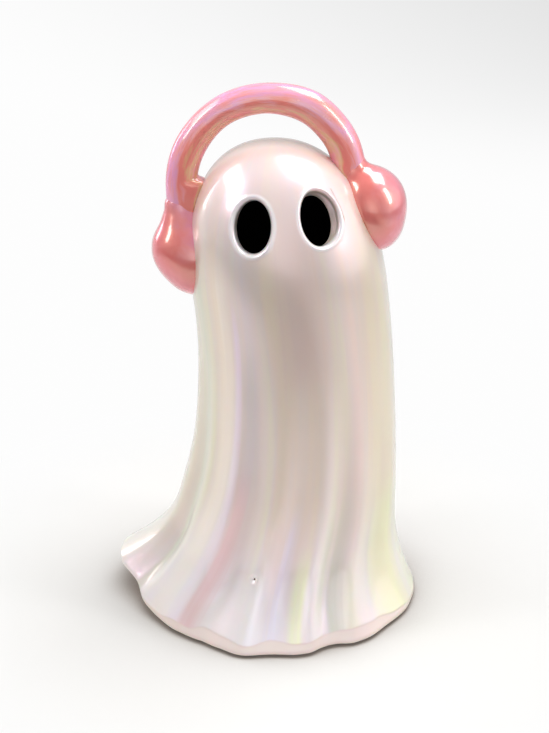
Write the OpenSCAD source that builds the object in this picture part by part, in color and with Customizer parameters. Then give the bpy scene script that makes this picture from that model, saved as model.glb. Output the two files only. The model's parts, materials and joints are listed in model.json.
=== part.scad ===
// Ceramic ghost figure that wears headphones: a hollow slip-cast figure with two eye holes,
// a headband, two ear pads, two ear cups and four soft bumpers under the foot.
// Millimetres, +Z up, the face looks towards -Y. The origin is on the table, in the middle of
// the figure's outline as seen from above. Angles around the figure start at the front and grow
// towards +X.

/* [Ghost] */
// Height of the ceramic figure from its foot to the top of the head
body_h = 179; // [150:1:210]
// Radius of the head at its widest
head_r = 35.8; // [32:0.1:40]
// Height of the rounded head above the shoulders
dome_h = 55; // [45:1:65]
// How much wider the hem is than the head, measured on the radius
flare = 19.5; // [12:0.5:26]
// Thickness of the cast wall
wall = 4.8; // [3:0.1:6]
// Thickness of the base around its opening
base_t = 5; // [3:0.1:8]
// Rounding of the edge under the hem
hem_round = 3.5; // [1.5:0.1:5]
// How far the body bows sideways between the foot and the head
sway = 9.4; // [0:0.1:14]
// Height of the tallest fold of the sheet over the plain skirt
fold_h = 2.6; // [1:0.1:4]
// How far the corner of the sheet reaches out past the hem
tail_reach = 7; // [0:0.5:12]
// How far that corner is lifted off the table
tail_lift = 10; // [0:0.5:14]
// Diameter of the opening in the base
base_opening_d = 60; // [40:1:66]

/* [Eyes] */
// Width of each eye hole
eye_w = 12.4; // [9:0.1:15]
// Height of each eye hole
eye_h = 18.4; // [13:0.1:22]
// Drop from the top of the head to the middle between the eyes
eye_drop = 22.5; // [20:0.5:32]
// How much higher the right eye sits than the left one
eye_step = 2.3; // [0:0.1:4]
// Angle from the middle of the face to each eye
eye_spread = 23.2; // [18:0.1:28]
// Turn of the face away from the front
face_turn = 5.2; // [-10:0.1:15]

/* [Headphones] */
// Thickness of the headband
band_d = 9.7; // [7:0.1:12]
// How far the arch of the headband is drawn in from the widest part of the head
band_tuck = 4.6; // [2:0.1:7]
// Drop from the top of the head to the line through both ears
ear_drop = 31.3; // [27:0.1:35]
// Height of the centre of the arch above the line through the ears
band_rise = 16.3; // [13:0.1:19]
// Slant of the headphones, with the right side up
band_tilt = 15; // [5:1:20]
// Depth to which each end of the headband is set in its ear pad
band_seat = 3; // [1:0.1:4]
// Radius of each ear pad
pad_r = 15.8; // [14.5:0.1:18]
// How far the outer face of each ear pad lies outside the middle of the headband
pad_out = 9.7; // [8:0.1:13]
// Rounding of the outer edge of each ear pad
pad_round = 7; // [3:0.1:9]
// Radius of each ear cup
cup_r = 12.4; // [9:0.1:12.5]
// Depth to which each ear cup is set in its ear pad
cup_seat = 2.5; // [1:0.1:4]
// How far each ear cup stands out of its ear pad
cup_crown = 6.5; // [4:0.1:9]

/* [Bumpers] */
// Diameter of each bumper
bumper_d = 10; // [6:0.5:12]
// Height of each bumper
bumper_h = 1; // [0.8:0.1:2]

/* [Hidden] */

$fn = 64;
// Gap to the head of each piece that is luted on, and play of each round end in its seat
seat_gap = 0.3;
seat_play = 0.25;
// Overrun of every cut
cut_over = 1;

shoulder_z = body_h - dome_h;
eye_z = body_h - eye_drop;
ear_z = body_h - ear_drop;
// Depth of the figure from front to back as a share of its width
depth_share = 0.97;
// Exponents of the head's outline, the skirt's flare, the bow and the corner
dome_power = 2.3;
flare_power = 2.7;
sway_power = 1.5;
tail_reach_power = 9;
tail_lift_power = 3;
// Place and half width of the lifted corner, in degrees
tail_angle = -98;
tail_spread = 26;
// Folds fade upwards with this power, and keep this share of their height at the hem
fold_fade_power = 1.6;
fold_hem_share = 0.45;
fold_swell_z = 16;

// Folds in turn round the skirt: angle, height as a share of fold_h, reach as a share of shoulder_z
fold_shares = [
    [-180, 0.85, 0.8], [-168, -0.85, 0.8], [-152, 0.9, 0.8], [-136, -0.9, 0.7], [-118, 0.55, 0.7],
    [-107, -0.25, 0.6], [-92, 0.75, 0.7], [-72, -0.75, 0.75], [-60, 0.7, 0.8], [-50, -0.7, 0.8],
    [-32, 0.75, 0.95], [-17, -0.9, 0.85], [-8, 0.45, 0.7], [-2, 0.1, 0.6], [4, 0.4, 0.7],
    [11, -0.75, 0.9], [21, 0.75, 0.85], [33, -1, 0.85], [46, 0.75, 0.95], [61, -0.75, 0.8],
    [78, 0.45, 0.75], [90, 0.7, 0.7], [106, -0.85, 0.8], [122, 0.9, 0.8], [138, -0.85, 0.8],
    [152, 0.75, 0.8], [166, -0.75, 0.8], [180, 0.85, 0.8]];

// Rings of points: columns round the outside, the inside and the head form, and rows of each part
outer_cols = 96;
inner_cols = 48;
hem_rows = 3;
skirt_rows = 24;
dome_rows = 11;
inner_skirt_rows = 12;
inner_dome_rows = 7;
form_skirt_rows = 3;
// Share of the skirt's height above which the head form starts
form_start_share = 0.8;

// Directions in which the eye holes are cut, in degrees: left, right
eye_turns = [-4, 21];
eye_lifts = [12, 20];
eye_points = 32;

// The headphones sit a little to the left of the middle of the head
phone_shift = -1.4;
// Radius of the arch along the middle of the headband, and height of the straight end under it
arch_r = head_r - band_tuck;
leg_h = band_rise - pad_r + band_seat;
// Start of an ear pad inside the outline of the head, where the head form cuts it, and its end
pad_start = arch_r - band_d;
pad_end = arch_r + pad_out;
// Steps of a rounded profile
round_steps = 8;

function smooth(x) = let (k = min(max(x, 0), 1)) k * k * (3 - 2 * k);

function sway_x(z) = sway * pow(max(sin(180 * z / body_h), 0), sway_power);

function tail_share(angle) = exp(-pow((angle - tail_angle) / tail_spread, 2));

// Share of a fold's height that is left at height z, when the fold reaches up to top
function fold_gain_share(z, top) =
    pow(max(1 - z / top, 0), fold_fade_power)
    * (fold_hem_share + (1 - fold_hem_share) * smooth(z / fold_swell_z));

function fold_of(angle) =
    min(len([for (f = fold_shares) if (f[0] <= angle) f]), len(fold_shares) - 1) - 1;

function fold_part(f, z) = f[1] * fold_h * fold_gain_share(z, f[2] * shoulder_z);

function fold_rise(angle, z) =
    let (i = fold_of(angle), a = fold_shares[i], b = fold_shares[i + 1],
         k = smooth((angle - a[0]) / (b[0] - a[0])))
    (1 - k) * fold_part(a, z) + k * fold_part(b, z);

// Radius of the skirt with neither folds nor corner, at the share s of the way up to the shoulders
function skirt_r(s) = head_r + flare * pow(1 - s, flare_power);

function around(angle, r, z) = [sway_x(z) + r * sin(angle), -r * depth_share * cos(angle), z];

// Point of the skirt: s is the share of the way up, inset the distance that it lies inside the surface
function skirt_point(angle, s, inset) =
    let (z = tail_lift * tail_share(angle) * pow(1 - s, tail_lift_power) + s * shoulder_z,
         corner = tail_reach * tail_share(angle) * pow(1 - s, tail_reach_power))
    around(angle, skirt_r(s) + corner + fold_rise(angle, z) - inset, z);

// Point of the head at the phase angle up its outline, 0 at the shoulders and 90 at the top
function dome_point(angle, phase, inset) =
    around(angle, (head_r - inset) * pow(1 - pow(sin(phase), dome_power), 1 / dome_power),
           shoulder_z + (dome_h - inset) * sin(phase));

// Point of the head's surface at the height z
function head_point(angle, z) = dome_point(angle, asin((z - shoulder_z) / dome_h), 0);

function turns(cols) = [for (i = [0 : cols - 1]) -180 + 360 * i / cols];

function skirt_ring(s, inset, cols) = [for (angle = turns(cols)) skirt_point(angle, s, inset)];

function dome_ring(phase, inset, cols) = [for (angle = turns(cols)) dome_point(angle, phase, inset)];

function flat_ring(r_at, z, cols) =
    [for (angle = turns(cols)) [r_at(angle) * sin(angle), -r_at(angle) * depth_share * cos(angle), z]];

// Rings of the rounded edge under the hem, from the foot up to just below its full width
hem_rings = [for (k = [0 : hem_rows - 1]) let (turn = 90 * k / hem_rows)
    skirt_ring(hem_round * (1 - cos(turn)) / shoulder_z, hem_round * (1 - sin(turn)), outer_cols)];

// Rings of the skirt from the full width of the hem up to the shoulders
hem_share = hem_round / shoulder_z;
skirt_rings = [for (k = [0 : skirt_rows])
    skirt_ring(hem_share + (1 - hem_share) * k / skirt_rows, 0, outer_cols)];

// Middle of the outline that the skirt has from above: it lies over the origin
outline = [for (ring = concat(hem_rings, skirt_rings)) each ring];
middle = [for (axis = [0, 1]) let (at = [for (p = outline) p[axis]]) (min(at) + max(at)) / 2];

// Place of the figure: on its bumpers, with the middle of its outline over the origin
module on_table() {
    translate([-middle[0], -middle[1], bumper_h]) children();
}

// Solid closed over a stack of rings, from the lowest to the highest, with a point below and one above
module ring_stack(rings, bottom, top) {
    cols = len(rings[0]);
    crown = len(rings) * cols + 1;
    points = concat([bottom], [for (ring = rings) each ring], [top]);
    low = [for (i = [0 : cols - 1]) [0, 1 + i, 1 + (i + 1) % cols]];
    sides = [for (k = [0 : len(rings) - 2], i = [0 : cols - 1])
        let (j = (i + 1) % cols, a = 1 + k * cols, b = a + cols)
        each [[a + i, b + i, b + j], [a + i, b + j, a + j]]];
    high = [for (i = [0 : cols - 1]) [crown, crown - cols + (i + 1) % cols, crown - cols + i]];
    polyhedron(points, concat(low, sides, high), convexity = 8);
}

// The figure's outside as a solid: a flat foot, the rounded hem, the skirt and the head
module ghost_outside() {
    foot_r = function (angle) skirt_r(0) + fold_rise(angle, 0) - 2 * hem_round;
    dome = [for (k = [1 : dome_rows - 1]) dome_ring(90 * k / dome_rows, 0, outer_cols)];
    ring_stack(concat([flat_ring(foot_r, 0, outer_cols)], hem_rings, skirt_rings, dome), [0, 0, 0],
               around(0, 0, body_h));
}

// The hollow inside, one wall from the outside and one base thickness from the foot
module ghost_inside() {
    floor_r = function (angle) base_opening_d / 2 + wall;
    base_share = base_t / shoulder_z;
    skirt = [for (k = [0 : inner_skirt_rows])
        let (s = base_share + (1 - base_share) * k / inner_skirt_rows)
        skirt_ring(s, wall, inner_cols)];
    dome = [for (k = [1 : inner_dome_rows - 1]) dome_ring(90 * k / inner_dome_rows, wall, inner_cols)];
    ring_stack(concat([flat_ring(floor_r, base_t, inner_cols)], skirt, dome), [0, 0, base_t],
               around(0, 0, body_h - wall));
}

// The head grown by a gap, for cutting what is luted on to it
module head_form(gap) {
    skirt = [for (k = [0 : form_skirt_rows])
        skirt_ring(form_start_share + (1 - form_start_share) * k / form_skirt_rows, -gap, inner_cols)];
    dome = [for (k = [1 : dome_rows - 1]) dome_ring(90 * k / dome_rows, -gap, inner_cols)];
    ring_stack(concat(skirt, dome), around(0, 0, form_start_share * shoulder_z), around(0, 0, body_h + gap));
}

// One eye hole: side is -1 for the left eye and 1 for the right one
module eye_cut(side) {
    i = (side + 1) / 2;
    centre = head_point(face_turn + side * eye_spread, eye_z + side * eye_step / 2);
    reach = 3 * wall;
    translate(centre)
        rotate([eye_lifts[i] * -1, 0, eye_turns[i]])
        translate([0, reach, 0])
        rotate([90, 0, 0])
        linear_extrude(2 * reach)
        polygon([for (k = [0 : eye_points - 1]) let (turn = 360 * k / eye_points)
            [eye_w / 2 * cos(turn), eye_h / 2 * sin(turn)]]);
}

module ghost_body() {
    color("ivory")
    on_table()
    difference() {
        ghost_outside();
        ghost_inside();
        eye_cut(-1);
        eye_cut(1);
        translate([0, 0, -cut_over]) cylinder(d = base_opening_d, h = base_t + 2 * cut_over);
    }
}

// Frame of the headphones: the origin is on the line through the ears, +X runs out to the right ear
module phone_frame() {
    on_table() translate([sway_x(ear_z) + phone_shift, 0, ear_z]) rotate([0, -band_tilt, 0]) children();
}

module headband() {
    color("lightcoral")
    difference() {
        phone_frame() {
            translate([0, 0, band_rise])
                rotate([90, 0, 0])
                rotate_extrude(angle = 180)
                translate([arch_r, 0])
                circle(d = band_d);
            for (side = [-1, 1])
                translate([side * arch_r, 0, band_rise - leg_h])
                cylinder(d = band_d, h = leg_h);
        }
        on_table() head_form(seat_gap);
    }
}

// Profile of an ear pad: the distance from its axis, then the place along the axis
pad_profile = concat(
    [[0, pad_start], [pad_r, pad_start]],
    [for (k = [0 : round_steps]) let (turn = 90 * k / round_steps)
        [pad_r - pad_round * (1 - cos(turn)), pad_end - pad_round * (1 - sin(turn))]],
    [[0, pad_end]]);

module ear_pad(side) {
    difference() {
        phone_frame()
            difference() {
                rotate([0, 90 * side, 0]) rotate_extrude() polygon(pad_profile);
                rotate([0, 90 * side, 0])
                    translate([0, 0, pad_end - cup_seat])
                    cylinder(r = cup_r + seat_play, h = cup_seat + cut_over);
                translate([side * arch_r, 0, pad_r - band_seat])
                    cylinder(d = band_d + 2 * seat_play, h = band_seat + cut_over);
            }
        on_table() head_form(seat_gap);
    }
}

module left_ear_pad() {
    color("palevioletred") ear_pad(-1);
}

module right_ear_pad() {
    color("palevioletred") ear_pad(1);
}

// Profile of an ear cup: a short plug with a rounded crown
cup_profile = concat(
    [[0, 0], [cup_r, 0]],
    [for (k = [0 : round_steps - 1]) let (turn = 90 * k / round_steps)
        [cup_r * cos(turn), cup_seat + cup_crown * sin(turn)]],
    [[0, cup_seat + cup_crown]]);

module ear_cup(side) {
    phone_frame()
        rotate([0, 90 * side, 0])
        translate([0, 0, pad_end - cup_seat])
        rotate_extrude()
        polygon(cup_profile);
}

module left_ear_cup() {
    color("pink") ear_cup(-1);
}

module right_ear_cup() {
    color("pink") ear_cup(1);
}

// A bumper lies midway between the base opening and the edge of the foot
module bumper(angle) {
    ring_r = (base_opening_d / 2 + skirt_r(0) - 2 * hem_round) / 2;
    color("whitesmoke")
    on_table()
    translate([ring_r * sin(angle), -ring_r * cos(angle), -bumper_h])
    cylinder(d = bumper_d, h = bumper_h);
}

module front_left_bumper() {
    bumper(-45);
}

module front_right_bumper() {
    bumper(45);
}

module rear_left_bumper() {
    bumper(-135);
}

module rear_right_bumper() {
    bumper(135);
}

ghost_body();
headband();
left_ear_pad();
right_ear_pad();
left_ear_cup();
right_ear_cup();
front_left_bumper();
front_right_bumper();
rear_left_bumper();
rear_right_bumper();
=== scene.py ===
"""Looks of the glazed ceramic ghost figure with its luted-on headphones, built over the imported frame.

Lengths in the classes are millimetres in the figure's own frame: its foot is at z 0, the face looks
towards -Y and angles round the figure start at the front and grow towards +X. Studio puts the same
points on the bumpers and over the origin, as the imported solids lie.
"""
import json
import logging
from dataclasses import dataclass, field
from enum import Enum, IntEnum
from math import cos, pi, radians, sin
from typing import Callable, Sequence

import bpy
import numpy as np
from mathutils import Matrix, Vector

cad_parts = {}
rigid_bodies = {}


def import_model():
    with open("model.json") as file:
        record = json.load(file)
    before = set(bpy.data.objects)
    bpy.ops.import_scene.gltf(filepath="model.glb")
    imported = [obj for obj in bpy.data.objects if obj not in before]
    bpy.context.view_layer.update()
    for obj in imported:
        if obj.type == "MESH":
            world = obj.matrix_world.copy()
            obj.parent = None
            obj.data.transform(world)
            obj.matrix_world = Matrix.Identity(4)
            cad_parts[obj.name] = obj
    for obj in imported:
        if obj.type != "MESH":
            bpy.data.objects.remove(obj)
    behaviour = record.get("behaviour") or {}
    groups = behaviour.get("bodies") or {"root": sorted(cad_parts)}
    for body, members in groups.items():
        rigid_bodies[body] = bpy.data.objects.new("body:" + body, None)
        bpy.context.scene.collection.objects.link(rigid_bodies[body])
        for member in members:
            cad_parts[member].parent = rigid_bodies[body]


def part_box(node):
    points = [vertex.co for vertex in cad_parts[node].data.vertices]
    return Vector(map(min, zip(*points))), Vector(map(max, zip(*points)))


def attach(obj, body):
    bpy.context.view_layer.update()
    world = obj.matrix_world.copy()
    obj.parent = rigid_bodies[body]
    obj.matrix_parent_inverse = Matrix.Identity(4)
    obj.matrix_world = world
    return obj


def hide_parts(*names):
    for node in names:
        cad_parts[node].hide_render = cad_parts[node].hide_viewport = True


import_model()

LOG = logging.getLogger("ghost")
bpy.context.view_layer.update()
MM = 0.001
HALVINGS = 44
Colour = tuple[float, float, float]
Values = np.ndarray | float


class Side(Enum):
    """Left and right as the photograph shows them; the value is the sign of X."""

    LEFT = -1
    RIGHT = 1


class Slot(Enum):
    """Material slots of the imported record."""

    PEARL = "pearl_glaze"
    PINK = "pink_glaze"
    BUMPER = "bumper"


class Finish(IntEnum):
    """Finishes of the body, in the order of its materials."""

    GLAZE = 0
    INSIDE = 1
    FOOT = 2


def smooth(value: Values) -> Values:
    """Smooth step of a value that is first held between 0 and 1."""
    k = np.clip(value, 0.0, 1.0)
    return k * k * (3.0 - 2.0 * k)


def bell(value: Values, centre: float, width: float) -> Values:
    """Bell curve of height 1 about a centre."""
    return np.exp(-((value - centre) / width) ** 2)


def between(table: Sequence[tuple[float, float]], place: np.ndarray) -> np.ndarray:
    """Values of a table of (place, value) with soft passages between its rows.

    Args:
        table: the rows, in the order of their places.
        place: the places that are asked for.

    Returns:
        The values at these places.
    """
    rows = np.array(table)
    i = np.clip(np.searchsorted(rows[:, 0], place, side="right") - 1, 0, len(rows) - 2)
    share = smooth((place - rows[i, 0]) / (rows[i + 1, 0] - rows[i, 0]))
    return rows[i, 1] + (rows[i + 1, 1] - rows[i, 1]) * share


def leave(outside: Callable[[np.ndarray], np.ndarray], count: int, low: float, high: float) -> np.ndarray:
    """Distances at which straight ways leave a form, found by halving.

    Args:
        outside: tells for a distance along each way whether it lies outside the form.
        count: number of the ways.
        low: a distance that lies inside on each way.
        high: a distance that lies outside on each way.

    Returns:
        The distances.
    """
    near, far = np.full(count, low), np.full(count, high)
    for _ in range(HALVINGS):
        middle = (near + far) / 2
        out = outside(middle)
        near, far = np.where(out, near, middle), np.where(out, middle, far)
    return near


def linked(name: str, data: bpy.types.ID) -> bpy.types.Object:
    """A new object with its data, linked to the scene.

    Args:
        name: name of the object.
        data: its mesh, curve, lamp or camera.

    Returns:
        The object.
    """
    thing = bpy.data.objects.new(name, data)
    bpy.context.scene.collection.objects.link(thing)
    return thing


class Clay:
    """Points, faces and finishes of one piece while it is thrown together."""

    def __init__(self) -> None:
        """Starts with nothing in it."""
        self.points: list[np.ndarray] = []
        self.faces: list[tuple[int, ...]] = []
        self.finishes: list[int] = []
        self.count = 0

    def add(self, points: np.ndarray) -> np.ndarray:
        """Adds points.

        Args:
            points: an array of n rows of x, y and z.

        Returns:
            The indices of the new points.
        """
        self.points.append(points)
        self.count += len(points)
        return np.arange(self.count - len(points), self.count)

    def face(self, corners: Sequence[int], finish: int = 0) -> None:
        """Adds one face with the number of its finish."""
        self.faces.append(tuple(int(c) for c in corners))
        self.finishes.append(int(finish))

    def band(self, low: np.ndarray, high: np.ndarray, finish: int = 0) -> None:
        """Joins two closed rings of as many points with a band of faces.

        Args:
            low: indices of the ring on the right of the way out of the clay.
            high: indices of the next ring.
            finish: number of the finish of the faces.
        """
        count = len(low)
        for i in range(count):
            j = (i + 1) % count
            self.face((low[i], low[j], high[j], high[i]), finish)

    def close(self, ring: np.ndarray, tip: int, upwards: bool, finish: int = 0) -> None:
        """Closes a ring with triangles to a tip.

        Args:
            ring: indices of the ring.
            tip: index of the tip.
            upwards: whether the tip comes after the ring in the order of the rows.
            finish: number of the finish of the faces.
        """
        count = len(ring)
        for i in range(count):
            a, b = ring[i], ring[(i + 1) % count]
            self.face((a, b, tip) if upwards else (b, a, tip), finish)

    def chain(self, before: np.ndarray, rings: Sequence[tuple[np.ndarray, int]]) -> np.ndarray:
        """Joins ring after ring to a first one.

        Args:
            before: indices of the first ring.
            rings: the points of each next ring and the finish of the band that leads to it.

        Returns:
            The indices of the last ring.
        """
        for points, finish in rings:
            ring = self.add(points)
            self.band(before, ring, finish)
            before = ring
        return before

    def shell(self, first: np.ndarray, rings: Sequence[np.ndarray], last: np.ndarray) -> None:
        """Adds a closed form: a tip, rings from there on, and another tip.

        Args:
            first: one row with the first tip.
            rings: the points of each ring.
            last: one row with the last tip.
        """
        before = self.add(rings[0])
        self.close(before, self.add(first)[0], False)
        before = self.chain(before, [(points, 0) for points in rings[1:]])
        self.close(before, self.add(last)[0], True)

    def piece(self, name: str, materials: Sequence[bpy.types.Material]) -> bpy.types.Object:
        """Makes the Blender object, in metres and smooth.

        Args:
            name: name of the object.
            materials: the finishes by their numbers.

        Returns:
            The linked object.
        """
        mesh = bpy.data.meshes.new(name)
        mesh.from_pydata((np.concatenate(self.points) * MM).tolist(), [], self.faces)
        for material in materials:
            mesh.materials.append(material)
        mesh.polygons.foreach_set("material_index", self.finishes)
        mesh.polygons.foreach_set("use_smooth", [True] * len(mesh.polygons))
        mesh.update()
        return linked(name, mesh)


@dataclass
class Sheet:
    """Rows of a sheet that is closed all round, as indices of points, in which rectangles can stay open."""

    grid: list[np.ndarray]
    gaps: list[tuple[int, int, int, int]] = field(default_factory=list)

    @staticmethod
    def edge(low: int, high: int, left: int, right: int) -> list[tuple[int, int]]:
        """Rows and columns round a rectangle: along the low row, up, back along the high row and down.

        Args:
            low: first row.
            high: last row; it may be the smaller number.
            left: first column.
            right: last column.

        Returns:
            The (row, column) pairs in their order.
        """
        step = 1 if high > low else -1
        found = [(low, c) for c in range(left, right)] + [(r, right) for r in range(low, high, step)]
        found += [(high, c) for c in range(right, left, -1)]
        return found + [(r, left) for r in range(high, low, -step)]

    def cut(self, low: int, high: int, left: int, right: int) -> np.ndarray:
        """Leaves a rectangle open and gives the indices of the points round it."""
        self.gaps.append((min(low, high), max(low, high), left, right))
        return np.array([self.grid[r][c] for r, c in self.edge(low, high, left, right)])

    def is_open(self, row: int, column: int) -> bool:
        """Whether the face after a row and a column lies in a gap."""
        return any(low <= row < high and left <= column < right for low, high, left, right in self.gaps)


def points_of(mesh: bpy.types.Mesh) -> np.ndarray:
    """The mesh's points in millimetres.

    Args:
        mesh: the mesh.

    Returns:
        Rows of x, y and z.
    """
    flat = np.zeros(len(mesh.vertices) * 3)
    mesh.vertices.foreach_get("co", flat)
    return flat.reshape(-1, 3) / MM


def put_points(mesh: bpy.types.Mesh, points: np.ndarray) -> None:
    """Writes points in millimetres back to the mesh."""
    mesh.vertices.foreach_set("co", (points * MM).ravel())
    mesh.update()


def note(mesh: bpy.types.Mesh, name: str, values: np.ndarray) -> None:
    """Stores values of a mesh's points under a name that materials read.

    Args:
        mesh: the mesh.
        name: name of the attribute.
        values: a number, or a row of three, for each point.
    """
    kind, key = ("FLOAT", "value") if values.ndim == 1 else ("FLOAT_VECTOR", "vector")
    layer = mesh.attributes.new(name, kind, "POINT")
    layer.data.foreach_set(key, values.astype(float).ravel())


# Shader wiring


class Wire:
    """A shader socket that takes part in Python expressions; each operator adds its Math node."""

    def __init__(self, bench: "Bench", socket: bpy.types.NodeSocket) -> None:
        """Wraps an output socket of the bench's nodes."""
        self.bench = bench
        self.socket = socket

    def __add__(self, other: "Wire | float") -> "Wire":
        """Sum."""
        return self.bench.math("ADD", self, other)

    __radd__ = __add__

    def __sub__(self, other: "Wire | float") -> "Wire":
        """Difference."""
        return self.bench.math("SUBTRACT", self, other)

    def __rsub__(self, other: "Wire | float") -> "Wire":
        """Difference from a number."""
        return self.bench.math("SUBTRACT", other, self)

    def __mul__(self, other: "Wire | float") -> "Wire":
        """Product."""
        return self.bench.math("MULTIPLY", self, other)

    __rmul__ = __mul__

    def __pow__(self, other: "Wire | float") -> "Wire":
        """Power."""
        return self.bench.math("POWER", self, other)


class Nodes:
    """A node tree and the one way in which its nodes are added."""

    def __init__(self, tree: bpy.types.NodeTree) -> None:
        """Takes the tree."""
        self.tree = tree

    def node(self, kind: str, settings: dict | None = None, inputs: dict | None = None) -> bpy.types.Node:
        """Adds a node.

        Args:
            kind: the node's type.
            settings: its own settings; "stops" is the list of (place, colour) of a ramp.
            inputs: values, wires or sockets to link, by the name or the number of the input.

        Returns:
            The node.
        """
        made = self.tree.nodes.new(kind)
        for key, value in (settings or {}).items():
            if key == "stops":
                stops = made.color_ramp.elements
                while len(stops) < len(value):
                    stops.new(1.0)
                for stop, (place, colour) in zip(stops, value):
                    stop.position = place
                    stop.color = (*colour, 1.0)
            else:
                setattr(made, key, value)
        for key, value in (inputs or {}).items():
            socket = made.inputs[key]
            if isinstance(value, Wire):
                value = value.socket
            if isinstance(value, bpy.types.NodeSocket):
                self.tree.links.new(value, socket)
            elif isinstance(value, tuple) and socket.type == "RGBA":
                socket.default_value = (*value, 1.0)
            else:
                socket.default_value = value
        return made


class Bench(Nodes):
    """The shader nodes of a material or of the world."""

    def __init__(self, holder: bpy.types.Material | bpy.types.World,
                 output: str = "ShaderNodeOutputMaterial") -> None:
        """Empties the holder's tree and gives it its output node.

        Args:
            holder: the material or the world.
            output: type of its output node.
        """
        holder.use_nodes = True
        super().__init__(holder.node_tree)
        self.holder = holder
        self.tree.nodes.clear()
        self.output = self.tree.nodes.new(output)

    def wire(self, kind: str, settings: dict | None = None, inputs: dict | None = None,
             output: str | int = 0) -> Wire:
        """Adds a node, with what node() takes, and gives the output of a name or a number."""
        return Wire(self, self.node(kind, settings, inputs).outputs[output])

    def math(self, operation: str, *values: Wire | float) -> Wire:
        """Adds a Math node for one operation on its values."""
        return self.wire("ShaderNodeMath", {"operation": operation}, dict(enumerate(values)))

    def most(self, first: Wire | float, second: Wire | float) -> Wire:
        """The greater of two values."""
        return self.math("MAXIMUM", first, second)

    def step(self, value: Wire, low: float, high: float) -> Wire:
        """A smooth step that goes from 0 at low to 1 at high; low may be the greater."""
        ends = {"From Min": low, "From Max": high, "To Min": 0.0, "To Max": 1.0}
        return self.wire("ShaderNodeMapRange", {"interpolation_type": "SMOOTHSTEP"}, {"Value": value, **ends})

    def hump(self, value: Wire, centre: float, width: float) -> Wire:
        """A soft hump of height 1 at the centre that has gone at the width from it."""
        return self.step(self.math("ABSOLUTE", value - centre), width, 0.0)

    def mix(self, share: Wire | float, first: Wire | Colour, second: Wire | Colour) -> Wire:
        """Mixes two colours; share is how much of the second one."""
        settings = {"data_type": "RGBA", "clamp_factor": True}
        return self.wire("ShaderNodeMix", settings, {0: share, 6: first, 7: second}, 2)

    def ramp(self, value: Wire, stops: Sequence[tuple[float, Colour]]) -> Wire:
        """Colours of a ramp at a value."""
        return self.wire("ShaderNodeValToRGB", {"stops": stops}, {"Fac": value})

    def noise(self, vector: Wire, scale: float, detail: float = 2.0, roughness: float = 0.5,
              distortion: float = 0.0) -> Wire:
        """Noise between 0 and 1 over a vector; the other arguments are the sockets of that name."""
        inputs = {"Vector": vector, "Scale": scale, "Detail": detail, "Roughness": roughness,
                  "Distortion": distortion}
        return self.wire("ShaderNodeTexNoise", None, inputs, "Fac")

    def place(self) -> Wire:
        """The place in the object's own frame, in metres."""
        return self.wire("ShaderNodeTexCoord", None, None, "Object")

    def vector(self, x: Wire | float, y: Wire | float, z: Wire | float) -> Wire:
        """A vector of three values."""
        return self.wire("ShaderNodeCombineXYZ", None, {0: x, 1: y, 2: z})

    def attribute(self, name: str, output: str = "Fac") -> Wire:
        """A named value of the mesh's points."""
        return self.wire("ShaderNodeAttribute", {"attribute_name": name}, None, output)

    def axes(self, vector: Wire) -> tuple[Wire, Wire, Wire]:
        """The three parts of a vector."""
        parts = self.node("ShaderNodeSeparateXYZ", None, {0: vector})
        return tuple(Wire(self, parts.outputs[i]) for i in range(3))

    def rays(self) -> tuple[Wire, Wire]:
        """Whether a ray comes from the camera, and whether it is a mirrored one."""
        path = self.node("ShaderNodeLightPath")
        return Wire(self, path.outputs["Is Camera Ray"]), Wire(self, path.outputs["Is Glossy Ray"])

    def bump(self, height: Wire, strength: float = 1.0) -> Wire:
        """A normal with relief; height is in millimetres."""
        inputs = {"Height": height, "Distance": MM, "Strength": strength}
        return self.wire("ShaderNodeBump", None, inputs)

    def finish(self, shader: bpy.types.Node) -> bpy.types.Material | bpy.types.World:
        """Links the shader to the output and gives what holds the tree."""
        self.tree.links.new(shader.outputs[0], self.output.inputs[0])
        return self.holder

    def surface(self, inputs: dict) -> bpy.types.Material:
        """Ends the material in a Principled surface with these inputs."""
        return self.finish(self.node("ShaderNodeBsdfPrincipled", None, inputs))


# Finishes


@dataclass(frozen=True)
class WashAndLight:
    """One run of colour down the skirt: its angle, its reach as shares of the height, and its tint. Most runs
    are lustre; the table marks those that are painted light or painted shade.
    """

    turn: float
    width: float
    low: float
    high: float
    tint: Colour
    share: float


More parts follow.
